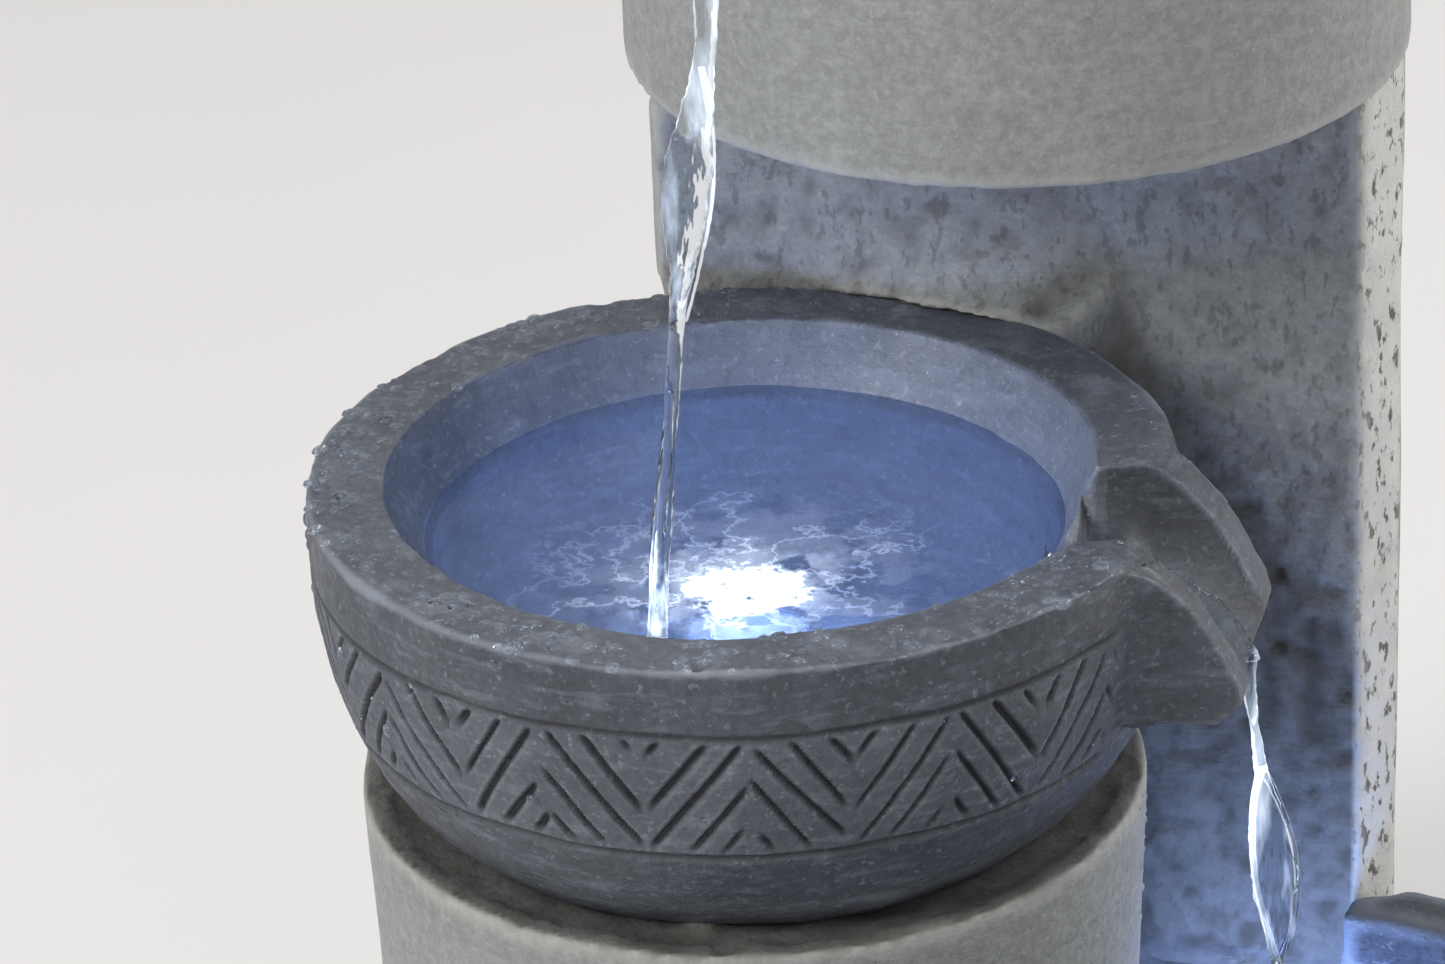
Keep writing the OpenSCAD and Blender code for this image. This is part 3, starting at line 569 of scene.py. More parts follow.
# ---------- Access door ----------
# A curved panel of the same pale casting that closes the opening in the back column.
# Two magnets hold it, and it pulls straight off by its knob.
door = recast("access_door_cast", [cad_shape("access_door")], 0.0011)
p = points_of(door.data)
n = normals_of(door.data)
move_points(door.data, p + n * (rough(p, 0.006, 31) * 0.00006)[:, None])
paint_wear(door.data, 3, 2400)
door.data.materials.append(pale_stone)
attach(door, "door")
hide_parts("access_door")

# ---------- Basin ----------
# The round reservoir that everything stands in, cast in dark stone-look resin with a
# flat rim. Its floor carries both columns.
dark_stone = stone_finish(
    "dark_cast_stone", body=(0.086, 0.096, 0.118), dusty=(0.25, 0.278, 0.325),
    deep=(0.014, 0.015, 0.019), dusting=0.8, wetness=0.6, mottling=0.2,
)
basin = recast("basin_cast", [cad_shape("basin")], 0.0018)
smooth_points(basin.data, 2)
p = points_of(basin.data)
n = normals_of(basin.data)
lift = rough(p, 0.02, 41) * 0.0007 + rough(p, 0.005, 42) * 0.0003
move_points(basin.data, p + n * lift[:, None])
paint_wear(basin.data, 3, 1600)
paint(basin.data, "darkened", np.full(len(p), 0.25))
paint(basin.data, "pitted", np.full(len(p), 0.2))
basin.data.materials.append(dark_stone)
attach(basin, "fountain")
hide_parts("basin")

# ---------- Middle and upper bowls ----------
# Carved bowls of dark stone-look resin with a flat rim band and an open, drooping spout.
# Two cut lines hold a band of nested zigzag strokes, and the raised parts are dry-brushed.
bowl_r = 85.0
line_depths = (13.6, 41.0)
band_height = line_depths[1] - line_depths[0]
half_turn = 13.5
stroke_gap = 0.37
line_cut, stroke_cut = 0.7, 1.25


def hashed(*keys):
    """A steady random number from -1 to 1 for whole-number keys"""
    total = np.zeros(np.broadcast(*keys).shape)
    for k, key in enumerate(keys):
        total = total + np.asarray(key) * (12.9898 + 65.31 * k)
    return (np.sin(total) * 43758.5453) % 1.0 * 2 - 1


def carve(points, normals, axis, rim_z, spout_az, seed):
    """How deep the band is cut at each point, in mm"""
    depth = (rim_z - points[:, 2]) * 1000
    around = azimuth_from(points, axis) + 720.0
    wobble = tumble(points, 0.018, seed) * 0.45
    cut = np.zeros(len(points))
    for line in line_depths:
        away = np.abs(depth + wobble - line)
        cut = np.maximum(cut, line_cut * (1 - ease(0.1, 0.95, away)))
    turn = (around + 5.5) / half_turn
    part_no = np.floor(turn).astype(np.int64)
    u = turn - part_no
    rising = part_no % 2 == 0
    height = 1 - (depth + wobble * 0.6 - line_depths[0]) / band_height
    lean = band_height / (math.radians(half_turn) * bowl_r * 0.97)
    across = 1 / math.sqrt(1 + lean * lean)
    for k in (-2, -1, 0, 1, 2):
        jog = hashed(part_no, k + 9, seed) * 0.035
        tilt = hashed(part_no, k + 21, seed) * 0.10
        line = np.where(rising, u, 1 - u) + k * stroke_gap + jog + tilt * (u - 0.5)
        away = np.abs(height - line) * band_height * across
        wide = 0.66 + 0.16 * hashed(part_no, k + 33, seed)
        stroke = 1 - ease(wide * 0.15, wide * 1.35, away)
        trim = 0.06 + 0.05 * hashed(part_no, k + 47, seed)
        ends = ease(trim - 0.05, trim + 0.06, u) * ease(trim - 0.05, trim + 0.06, 1 - u)
        ends = ends * ease(0.02, 0.12, height) * ease(0.02, 0.10, 1 - height)
        cut = np.maximum(cut, stroke_cut * stroke * ends)
    outside = ease(0.1, 0.5, np.einsum("ij,ij->i", points - np.array(axis), normals)
                   / np.maximum(radius_from(points, axis), 1e-6)
                   - np.clip(normals[:, 2], 0, 1) * 0.6)
    away_from_spout = np.abs((around - spout_az + 180) % 360 - 180)
    near_side = (around - spout_az + 180) % 360 < 180
    clear = ease(17.5, 20.5, away_from_spout - 4.5 * near_side)
    return cut * outside * clear * (radius_from(points, axis) > 0.055)


def open_channel(points, axis, rim_z, spout_az):
    """Rounds the rim down into the spout, opens its channel to the near side and deepens it"""
    roll_out, roll_down, groove = 71, 41, 4.2
    a = math.radians(spout_az)
    x, y = points[:, 0] - axis.x, points[:, 1] - axis.y
    out = (x * math.cos(a) + y * math.sin(a)) / MM
    side = (y * math.cos(a) - x * math.sin(a)) / MM
    height = (points[:, 2] - rim_z) / MM + roll_down
    lip = np.interp(out, [76, 78, 84, 90, 95, 99], [0, -0.8, -5, -12, -20.5, -28.5]) + roll_down
    reach = np.hypot(out - roll_out, height)
    height = np.where(out > 76, np.minimum(height, lip), height)
    zone = ease(60, 68, out) * ease(20, 25, reach)
    width = np.abs(side)
    before = np.interp(out, [70, 84, 90, 95, 99], [15, 14.2, 12.5, 9.7, 8.6])
    outer = np.interp(out, [70, 84], [36, 24])
    near_lip = np.interp(out, [66, 76, 90], [23.5, 20.5, 17.5])
    far_lip = np.interp(out, [66, 80, 92], [9.5, 12.5, 14.5])
    after = np.where(side < 0, near_lip, far_lip)
    spread = np.where(width < before, width * after / before,
                      after + (width - before) * (outer - after) / (outer - before))
    spread = np.where(width > outer, width, spread)
    moved = side + (np.sign(side) * spread - side) * zone
    in_channel = zone * ease(before + 0.5, before - 0.5, width) * (height < lip - 0.8)
    in_channel = in_channel * (out > 68)
    sink = groove * ease(73, 80, out) * ease(101, 93, out)
    height = height - sink * in_channel * np.clip(1 - (width / before) ** 4, 0, 1)
    return np.stack([
        axis.x + (out * math.cos(a) - moved * math.sin(a)) * MM,
        axis.y + (out * math.sin(a) + moved * math.cos(a)) * MM,
        rim_z + (height - roll_down) * MM,
    ], 1), in_channel


def spout_shoulder(axis, rim_z, spout_az):
    """The hollow curve by which the bowl's wall runs out into the near side of the spout"""
    turn, bend, side = math.radians(spout_az), 20.0, 24.0
    centre = (math.sqrt((bowl_r + bend) ** 2 - (side + bend) ** 2), -side - bend)
    start = math.atan2(-centre[1], -centre[0])
    shape = bmesh.new()
    tops, bottoms = [], []
    outline = []
    for i in range(15):
        a = start + (math.pi / 2 - start) * i / 14
        outline.append((centre[0] + bend * math.cos(a), centre[1] + bend * math.sin(a)))
    outline += [(centre[0], -20.0), (80.0, -18.0), (74.0, -33.5)]
    for out, across in outline:
        top = np.interp(out, [77, 80, 84, 90, 95.5], [-0.3, -2.2, -5.4, -12.2, -21.5])
        tucked = np.interp(out, [77, 90], [0.93, 1])
        for level, inward, ring in ((top, 1, tops), (-37, tucked, bottoms)):
            u, v = out * inward, across * inward
            ring.append(shape.verts.new((
                axis.x + (u * math.cos(turn) - v * math.sin(turn)) * MM,
                axis.y + (u * math.sin(turn) + v * math.cos(turn)) * MM,
                rim_z + level * MM,
            )))
    skin(shape, [tops, bottoms])
    bmesh.ops.triangulate(shape, faces=shape.faces)
    bmesh.ops.recalc_face_normals(shape, faces=shape.faces)
    return mesh_of(shape, "shoulder")


def cast_bowl(name, node, axis, rim_z, spout_az, voxel, seed):
    """One bowl and its spout's shoulder cast together, then carved, chipped and dry-brushed"""
    bowl = recast(name, [cad_shape(node), spout_shoulder(axis, rim_z, spout_az)], voxel)
    mesh = bowl.data
    smooth_points(mesh, 1)
    opened, in_channel = open_channel(points_of(mesh), axis, rim_z, spout_az)
    move_points(mesh, opened)
    p = points_of(mesh)
    n = normals_of(mesh)
    r = radius_from(p, axis)
    drop = rim_z - p[:, 2]
    on_rim = ease(0.6, 0.95, n[:, 2]) * (drop < 0.002)
    inside = (r < 0.0705) * (drop > 0.0005) * (drop < 0.044)
    facets = rough(p * np.array([1, 1, 0.6]), 0.026, seed) * 0.0010
    chips = ease(0.35, 0.85, rough(p, 0.009, seed + 3)) * (r > 0.080) * ease(0.0045, 0.001, drop)
    lift = facets + rough(p, 0.006, seed + 5) * 0.00022
    lift += on_rim * rough(p, 0.014, seed + 7) * 0.0005 - chips * 0.0011
    lift += inside * rough(p, 0.012, seed + 9) * 0.0003
    cut = carve(p, n, axis, rim_z, spout_az, seed)
    move_points(mesh, p + n * (lift - cut * MM)[:, None])
    paint_wear(mesh, 3, 2600)
    paint(mesh, "darkened", np.maximum(np.clip(cut, 0, 1) * 0.85, in_channel * 0.35))
    paint(mesh, "pitted", np.full(len(p), 0.15))
    # Painted light: the inner wall above the water is painted lighter, most on one side, for the
    # lamp's light on it. The lightening on the raised band and the rim is dry-brushing.
    film = 0.13 + 0.12 * np.cos(np.radians(azimuth_from(p, axis) - spout_az - 65))
    band = (r > 0.072) * ease(0.0125, 0.0145, drop) * ease(0.043, 0.040, drop)
    raised = band * (1 - np.clip(cut, 0, 1))
    dry = inside * (film + 0.08 * rough(p, 0.02, seed + 11))
    dry += (0.07 * raised + 0.05 * on_rim) * (1 + rough(p, 0.012, seed + 13))
    paint(mesh, "dust_and_painted_light", np.clip(dry, 0, 1))
    mesh.materials.append(dark_stone)
    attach(bowl, "fountain")
    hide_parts(node)
    return bowl


middle_bowl = cast_bowl("middle_bowl_cast", "middle_bowl", bowl_axis, middle_rim, -12, 0.00055, 51)
upper_bowl = cast_bowl("upper_bowl_cast", "upper_bowl", back_axis, upper_rim, -126, 0.0010, 71)

# ---------- Water in the bowls and the basin ----------
# Still water lit from below, stirred where the streams land. The glare of the lamps and the bright
# veins on it are painted on as glow.
# It stands about 12 mm under each bowl's rim, and fills the basin round both columns.


def grid_mesh(points, faces):
    """A smoothly shaded mesh"""
    mesh = bpy.data.meshes.new("grid")
    mesh.from_pydata([tuple(p) for p in points], [], faces)
    mesh.validate()
    mesh.polygons.foreach_set("use_smooth", [True] * len(mesh.polygons))
    mesh.update()
    return mesh


def water_with_painted_glow(name, lamp, landing, glow):
    """Blue water with painted light: the glare of its lamp, and bright veins round the lamp and
    where a stream lands, painted on as glow
    """
    material, shader, place = new_material(name)

    def stirred_distance(centre, reach):
        """How far a place is from a centre, in reaches, with swirls stirred in"""
        stir = 0.036
        swirl = place.id_data.nodes.new("ShaderNodeTexNoise")
        feed(swirl, {"Vector": place, "Scale": 75, "Detail": 6, "Roughness": 0.68})
        twist = place.id_data.nodes.new("ShaderNodeMix")
        twist.data_type = "VECTOR"
        join(stir, twist.inputs[0])
        join(place, twist.inputs[4])
        join(swirl.outputs["Color"], twist.inputs[5])
        away = place.id_data.nodes.new("ShaderNodeVectorMath")
        away.operation = "DISTANCE"
        join(twist.outputs[1], away.inputs[0])
        join(tuple(c * (1 - stir) + stir / 2 for c in centre), away.inputs[1])
        return add_math("DIVIDE", away.outputs["Value"], reach)

    near = stirred_distance(lamp, 0.05)
    core = add_ramp(near, [(0.0, 1), (0.18, 0.9), (0.24, 0.14), (0.42, 0.03), (0.8, 0)])
    gaps = add_ramp(add_noise(place, 110, 4, 0.6), [(0.42, 0.03), (0.50, 1)])
    veins = add_noise(place, 62, 7, 0.62)
    filaments = add_ramp(veins, [(0.47, 0), (0.495, 1), (0.515, 0.05), (0.56, 0)])
    stirred = add_ramp(near, [(0.0, 0.40), (0.5, 0.12), (0.95, 0)])
    landing_glow = add_ramp(stirred_distance(landing, 0.03), [(0.0, 0.32), (0.3, 0.12), (0.85, 0)])
    # Painted light: the veins glow most near the lamp and where the stream lands.
    busy = add_math("MULTIPLY", add_math("ADD", stirred, landing_glow), 0.6)
    vein_glow = add_math("MULTIPLY", filaments, busy)
    glare = add_math("MULTIPLY", core, gaps)
    haze = add_noise(place, 55, 5, 0.6)
    ripple = add_noise(place, 140, 3, 0.5)
    feed(shader, {
        "Base Color": add_ramp(haze, [(0.35, (0.026, 0.046, 0.100)), (0.7, (0.070, 0.100, 0.170))]),
        "Roughness": 0.06,
        "IOR": 1.33,
        "Alpha": 0.62,
        "Emission Color": (0.72, 0.83, 1, 1),
        "Emission Strength": add_math("MULTIPLY", add_math("ADD", glare, vein_glow), glow),
        "Normal": add_bump(ripple, 0.0004),
    })
    return material


def water_sheet(name, axis, radius, level, landing, lamp, glow):
    """A round sheet of water with rings that spread from where the stream lands"""
    rings, turns = 64, 128
    points = [(axis.x, axis.y, level)]
    for i in range(1, rings + 1):
        for k in range(turns):
            a = 2 * math.pi * k / turns
            r = radius * i / rings
            points.append((axis.x + r * math.cos(a), axis.y + r * math.sin(a), level))
    faces = [(0, 1 + k, 1 + (k + 1) % turns) for k in range(turns)]
    for i in range(rings - 1):
        for k in range(turns):
            a, b = 1 + i * turns + k, 1 + i * turns + (k + 1) % turns
            faces.append((a, a + turns, b + turns, b))
    spots = np.array(points)
    away = np.hypot(spots[:, 0] - landing.x, spots[:, 1] - landing.y)
    ring_height, ring_size, ring_reach = 0.0009, 0.0016, 0.012
    rise = ring_height * np.cos(away / ring_size) * np.exp(-away / ring_reach)
    rise += rough(spots, 0.010, 81) * (0.00025 + 0.0008 * np.exp(-away / 0.02))
    spots[:, 2] += rise
    sheet = add_piece(name, grid_mesh(spots, faces))
    sheet.data.materials.append(water_with_painted_glow(name + "_surface", tuple(lamp), tuple(landing), glow))
    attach(sheet, "fountain")


under_rim, sheet_r = 0.0118, 0.0626
middle_level = middle_rim - under_rim
upper_level = upper_rim - under_rim
basin_level = 0.051
upper_landing = plan(-17, -44, 0)
upper_landing.z = middle_level
lower_landing = plan(111, -27, 51)
water_sheet(
    "middle_bowl_water", bowl_axis, sheet_r, middle_level, upper_landing,
    Vector((bowl_axis.x, bowl_axis.y - 0.029, middle_level)), 6.0,
)
nozzle_spot = middle_of("diffuser_cap")
nozzle_spot.z = upper_level
water_sheet(
    "upper_bowl_water", back_axis, sheet_r, upper_level, nozzle_spot,
    Vector((back_axis.x, back_axis.y, upper_level)), 5.0,
)


def basin_sheet(name):
    """Water round both columns and into the pump's room; its edges end inside the castings"""
    basin_centre = plan(81, -58, 0)
    basin_water_r, pump_room_r, lower_column_r = 0.114, 0.073, 0.070
    step = 0.002
    lo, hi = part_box("basin")
    xs = np.arange(lo.x + 0.004, hi.x, step)
    ys = np.arange(lo.y + 0.004, hi.y, step)
    gx, gy = np.meshgrid(xs, ys, indexing="ij")
    in_ring = np.hypot(gx - basin_centre.x, gy - basin_centre.y) < basin_water_r
    in_room = np.hypot(gx - back_axis.x, gy - back_axis.y) < pump_room_r
    between = (
        (gx > bowl_axis.x + 0.012) & (gx < bowl_axis.x + 0.124)
        & (gy > bowl_axis.y - 0.02) & (gy < back_axis.y)
    )
    under_column = np.hypot(gx - bowl_axis.x, gy - bowl_axis.y) <= lower_column_r
    wet = (in_ring | in_room | between) & ~under_column
    spots = np.stack([gx.ravel(), gy.ravel(), np.full(gx.size, basin_level)], 1)
    away = np.hypot(spots[:, 0] - lower_landing.x, spots[:, 1] - lower_landing.y)
    ring_height, ring_size, ring_reach = 0.0010, 0.0022, 0.016
    spots[:, 2] += ring_height * np.cos(away / ring_size) * np.exp(-away / ring_reach)
    spots[:, 2] += rough(spots, 0.014, 91) * 0.0006
    index = np.arange(gx.size).reshape(gx.shape)
    whole = wet[:-1, :-1] & wet[1:, :-1] & wet[:-1, 1:] & wet[1:, 1:]
    a, b = index[:-1, :-1][whole], index[1:, :-1][whole]
    c, d = index[1:, 1:][whole], index[:-1, 1:][whole]
    used = np.unique(np.concatenate([a, b, c, d]))
    renumber = np.zeros(gx.size, dtype=np.int64)
    renumber[used] = np.arange(len(used))
    faces = renumber[np.stack([a, b, c, d], 1)].tolist()
    sheet = add_piece(name, grid_mesh(spots[used], faces))
    glow_spot = middle_of("basin_light_lens")
    glow_spot.z = basin_level
    sheet.data.materials.append(
        water_with_painted_glow(name + "_surface", tuple(glow_spot), tuple(lower_landing), 4.0)
    )
    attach(sheet, "fountain")


basin_sheet("basin_water")

# ---------- Falling streams ----------
# The upper spout pours into the middle bowl and the middle spout into the basin.
# Each starts as a thin tongue in its channel, leaves the tip, then twists as it falls.


def clear_water(name, glint):
    """Clear running water whose cloudy parts glow with painted glints; glint sets how bright"""
    material, shader, place = new_material(name)
    cloud = add_noise(place, 160, 3, 0.6, (1, 1, 0.25))
    feed(shader, {
        "Base Color": (0.92, 0.96, 1, 1),
        "Transmission Weight": 1.0,
        "IOR": 1.33,
        "Roughness": add_ramp(cloud, [(0.4, 0.02), (0.75, 0.10)]),
        "Emission Color": (0.70, 0.82, 1, 1),
        "Emission Strength": add_ramp(cloud, [(0.50, 0), (0.72, glint)]),
        "Normal": add_bump(cloud, 0.0009),
    })
    return material


stream_water = clear_water("stream_water", 0.55)
still_water = clear_water("still_water", 0.0)
white_water_painted_glow = clear_water("white_water_painted_glow", 2.2)


def strand(shape, course, steps, seed):
    """A twisting strand of water. Each point of its course holds a place, a width, a
    thickness and a twist in degrees"""
    sides = 18
    course = np.array(course, dtype=float)
    knots = np.linspace(0, 1, len(course))
    at = np.linspace(0, 1, steps)
    k = np.clip(np.searchsorted(knots, at, side="right") - 1, 0, len(course) - 2)
    t = ((at - knots[k]) * (len(course) - 1))[:, None]
    p0, p1 = course[np.maximum(k - 1, 0)], course[k]
    p2, p3 = course[k + 1], course[np.minimum(k + 2, len(course) - 1)]
    rows = 0.5 * (
        2 * p1 + (p2 - p0) * t + (2 * p0 - 5 * p1 + 4 * p2 - p3) * t * t
        + (3 * p1 - p0 - 3 * p2 + p3) * t * t * t
    )
    centres = np.stack([rows[:, 0] * MM + bowl_axis.x, rows[:, 1] * MM + bowl_axis.y,
                        rows[:, 2] * MM], 1)
    ahead = np.gradient(centres, axis=0)
    ahead /= np.linalg.norm(ahead, axis=1)[:, None]
    spots = []
    for i in range(steps):
        forward = Vector(ahead[i])
        right = Vector((1, 0, 0)) - forward * forward.x
        right.normalize()
        up = forward.cross(right)
        turn = math.radians(rows[i, 5])
        wide = (right * math.cos(turn) + up * math.sin(turn)) * rows[i, 3] * MM / 2
        thick = (up * math.cos(turn) - right * math.sin(turn)) * rows[i, 4] * MM / 2
        for q in range(sides):
            a = 2 * math.pi * q / sides
            spots.append(Vector(centres[i]) + wide * math.cos(a) + thick * math.sin(a))
    spots = np.array([tuple(spot) for spot in spots])
    swell = 1 + 0.16 * tumble(spots * np.array([1, 1, 0.35]), 0.0022, seed) + 0.10 * tumble(
        spots, 0.0011, seed + 1
    )
    base = np.repeat(centres, sides, axis=0)
    spots = base + (spots - base) * swell[:, None]
    verts = [shape.verts.new(v) for v in spots]
    skin(shape, [verts[i * sides:(i + 1) * sides] for i in range(steps)])


def pour(name, strands, finish):
    """One piece of falling or creeping water made of strands"""
    shape = bmesh.new()
    for course, steps, seed in strands:
        strand(shape, course, steps, seed)
    bmesh.ops.recalc_face_normals(shape, faces=shape.faces)
    mesh = mesh_of(shape, name)
    mesh.polygons.foreach_set("use_smooth", [True] * len(mesh.polygons))
    water = add_piece(name, mesh)
    water.data.materials.append(finish)
    water.visible_shadow = False
    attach(water, "fountain")


def channel_tongue(axis_x, axis_y, rim, azimuth):
    """Water creeping down a spout's channel. Each step is out from the axis, aside, and
    down from the rim, with a width and a thickness"""
    steps = [(60, -8, 12.7, 11, 0.8), (70, -7, 13.3, 10, 0.8), (79, -5, 18.0, 10, 1.0),
             (86, -4, 21.5, 9, 1.2), (92.5, -2.5, 26.8, 8, 1.4), (98.0, -1, 34.0, 5.5, 2.0)]
    a = math.radians(azimuth)
    return [(axis_x + u * math.cos(a) - v * math.sin(a), axis_y + u * math.sin(a) + v * math.cos(a),
             rim - drop, wide, thick, 0) for u, v, drop, wide, thick in steps]


rim_mm, upper_mm = middle_rim / MM, upper_rim / MM
back_x, back_y = (back_axis.x - bowl_axis.x) / MM, (back_axis.y - bowl_axis.y) / MM
upper_tongue = channel_tongue(back_x, back_y, upper_mm, -126)
upper_tip = upper_tongue[-2:]
upper_fall = [
    (-0.6, -17.5, 368, 5.2, 3.4, 20), (-1.2, -20.5, 350, 4.6, 3.0, 60),
    (-1.9, -23.5, 330, 4.8, 2.8, 110), (-3.2, -26.0, 311, 4.9, 2.2, 160),
    (-4.6, -28.5, 296, 4.5, 2.4, 180), (-7.6, -31.0, 281, 8.2, 1.6, 186),
    (-8.9, -33.0, 271, 9.0, 1.5, 200), (-10.2, -35.0, 260, 7.4, 1.9, 225),
    (-11.4, -37.5, 248, 4.3, 2.8, 262), (-13.2, -39.5, 232, 3.5, 2.8, 300),
    (-15.0, -41.5, 216, 3.9, 2.4, 340), (-16.6, -43.0, 201, 3.7, 2.8, 380),
    (-17.6, -44.0, 187, 4.2, 3.8, 400),
]
second_thread = [
    (-4.9, -27.5, 296, 1.2, 1.2, 0), (-3.6, -29.5, 283, 1.5, 1.4, 60),
    (-4.4, -31.5, 271, 1.6, 1.5, 120), (-7.0, -34.0, 259, 1.4, 1.3, 160),
    (-10.0, -37.0, 249, 1.2, 1.2, 200),
]
pour("upper_spout_film", [(upper_tongue, 60, 105)], still_water)
pour("upper_stream", [(upper_tip + upper_fall, 200, 101), (second_thread, 50, 103)], stream_water)
# A white core inside the upper stream, its whiteness painted on as glow.
glowing_core = [
    (-13.0, -39.3, 236, 0.8, 0.8, 0), (-15.0, -41.5, 217, 2.0, 1.6, 40),
    (-16.6, -43.0, 201, 2.5, 2.0, 80), (-17.6, -44.0, 187, 3.2, 3.0, 120),
]
pour("upper_stream_core", [(glowing_core, 60, 107)], white_water_painted_glow)
middle_tongue = channel_tongue(0, 0, rim_mm, -12)
neck = [
    (96.0, -20.6, rim_mm - 35, 4.6, 2.4, 10), (96.3, -21.2, 159, 3.2, 2.2, 40),
    (97.2, -21.8, 152, 3.6, 1.6, 80), (98.0, -22.4, 146, 2.2, 2.0, 130),
    (98.6, -22.8, 141, 2.6, 2.2, 170),
]
left_edge = [
    (98.6, -22.8, 142, 2.0, 1.8, 0), (97.2, -23.2, 135, 1.5, 1.3, 30),
    (96.8, -23.8, 126, 1.4, 1.2, 60), (97.6, -24.4, 116, 1.4, 1.2, 90),
    (99.6, -25.0, 107, 1.6, 1.4, 120), (101.6, -25.6, 99, 2.2, 1.8, 150),
]
right_edge = [
    (98.6, -22.8, 142, 2.0, 1.8, 0), (101.4, -23.2, 136, 1.5, 1.3, 40),
    (104.4, -23.8, 127, 1.5, 1.2, 80), (105.6, -24.4, 117, 1.5, 1.2, 110),
    (104.6, -25.0, 107, 1.6, 1.4, 140), (101.8, -25.6, 99, 2.2, 1.8, 180),
]
film = [
    (98.8, -22.9, 141, 2.0, 0.5, 0), (99.2, -23.2, 135.5, 4.4, 0.4, 6),
    (100.4, -23.8, 126.5, 7.8, 0.35, 3), (101.4, -24.4, 116.5, 8.2, 0.35, -3),
    (102.0, -25.0, 107, 5.2, 0.4, -6), (101.8, -25.6, 99.5, 1.6, 0.8, 0),
]
tail = [
    (101.7, -25.6, 100, 2.6, 2.0, 0), (103.6, -26.0, 91, 3.0, 2.0, 50),
    (106.0, -26.4, 80, 2.6, 2.2, 120), (108.4, -26.8, 66, 3.2, 2.0, 190),
    (110.6, -27.0, 50, 3.6, 3.0, 240),
]
pour(
    "middle_stream",
    [(middle_tongue[-2:] + neck, 80, 111), (left_edge, 60, 113), (right_edge, 60, 115),
     (film, 50, 117), (tail, 60, 119)],
    stream_water,
)
pour("middle_spout_film", [(middle_tongue, 60, 121)], still_water)

# ---------- Beads and puddles ----------
# Splashed drops that stand on the rims, the bowls' walls and the columns. Flat puddles lie
# on the left half of the middle bowl's rim.
random_draw = np.random.default_rng(7)


def bead_cluster(name, casting, where, count, small, large, height=0.5, sides=10, ragged=0.0):
    """Flattened drops set on a casting's surface, where a mask over its points allows"""
    p = points_of(casting.data)
    n = normals_of(casting.data)
    allowed = np.nonzero(where(p, n))[0]
    chosen = random_draw.choice(allowed, size=min(count, len(allowed)), replace=False)
    size = small + (large - small) * random_draw.random(len(chosen)) ** 2.6
    layers = [(1.0, -0.12), (0.98, 0.18), (0.82, 0.58), (0.5, 0.88)]
    spots, faces = [], []
    for which, radius in zip(chosen, size):
        up = Vector(n[which]).normalized()
        side = up.orthogonal().normalized()
        other = up.cross(side)
        centre = Vector(p[which])
        first = len(spots)
        lobe, swing = random_draw.random(2) * 6.3, ragged * random_draw.random(2)
        around = np.arange(sides) * 2 * math.pi / sides
        edge = 1 + swing[0] * np.cos(2 * around + lobe[0]) + swing[1] * np.cos(3 * around + lobe[1])
        for out, lift in layers:
            for q in range(sides):
                a = 2 * math.pi * q / sides
                reach = radius * out * edge[q]
                spots.append(centre + side * (reach * math.cos(a)) + other
                             * (reach * math.sin(a)) + up * (radius * height * lift))
        spots.append(centre + up * (radius * height))
        for j in range(len(layers) - 1):
            for q in range(sides):
                a, b = first + j * sides + q, first + j * sides + (q + 1) % sides
                faces.append((a, b, b + sides, a + sides))
        last = first + (len(layers) - 1) * sides
        top = first + len(layers) * sides
        faces += [(last + q, last + (q + 1) % sides, top) for q in range(sides)]
        faces.append(tuple(first + q for q in reversed(range(sides))))
    beads = add_piece(name, grid_mesh(spots, faces))
    beads.data.materials.append(still_water)
    beads.visible_shadow = False
    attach(beads, "fountain")


def on_middle_rim(p, n):
    around = azimuth_from(p, bowl_axis)
    wet_side = (around > 90) | (around < -35)
    return (n[:, 2] > 0.9) & (p[:, 2] > middle_rim - 0.002) & (
        wet_side | (random_draw.random(len(p)) < 0.25))


def on_rim_flat(p, n):
    r = radius_from(p, bowl_axis)
    around = azimuth_from(p, bowl_axis)
    return (n[:, 2] > 0.95) & (p[:, 2] > middle_rim - 0.002) & (r > 0.0755) & (r < 0.0795) & (
        (around > 120) | (around < -70))


def on_inner_wall(p, n):
    r = radius_from(p, bowl_axis)
    return (r < 0.0695) & (p[:, 2] > middle_level + 0.0015) & (p[:, 2] < middle_rim - 0.001)


def on_outer_wall(p, n):
    r = radius_from(p, bowl_axis)
    return (r > 0.078) & (r < 0.0865) & (p[:, 2] < middle_rim - 0.003) & (n[:, 2] < 0.3)


def on_lower_drum(p, n):
    around = azimuth_from(p, bowl_axis)
    return (radius_from(p, bowl_axis) > 0.074) & (around > -75) & (around < 20) & (
        p[:, 2] < lower_top - 0.001)


def on_upper_drum(p, n):
    return (radius_from(p, back_axis) > 0.0775) & (p[:, 2] > cut_z + 0.002) & (n[:, 2] < 0.5)


def on_upper_rim(p, n):
    return (n[:, 2] > 0.9) & (p[:, 2] > upper_rim - 0.002)


bead_cluster("middle_rim_beads", middle_bowl, on_middle_rim, 700, 0.0003, 0.0019, 0.45)
bead_cluster("middle_rim_puddles", middle_bowl, on_rim_flat, 16, 0.0022, 0.0044, 0.10, 28, 0.35)
bead_cluster("inner_wall_beads", middle_bowl, on_inner_wall, 420, 0.0003, 0.0011, 0.5)
bead_cluster("outer_wall_beads", middle_bowl, on_outer_wall, 130, 0.0003, 0.0015, 0.5)
bead_cluster("lower_drum_beads", lower_column, on_lower_drum, 420, 0.0002, 0.0009, 0.5)
bead_cluster("upper_drum_beads", back_column, on_upper_drum, 260, 0.0002, 0.0009, 0.5)
bead_cluster("upper_rim_beads", upper_bowl, on_upper_rim, 160, 0.0003, 0.0016, 0.45)

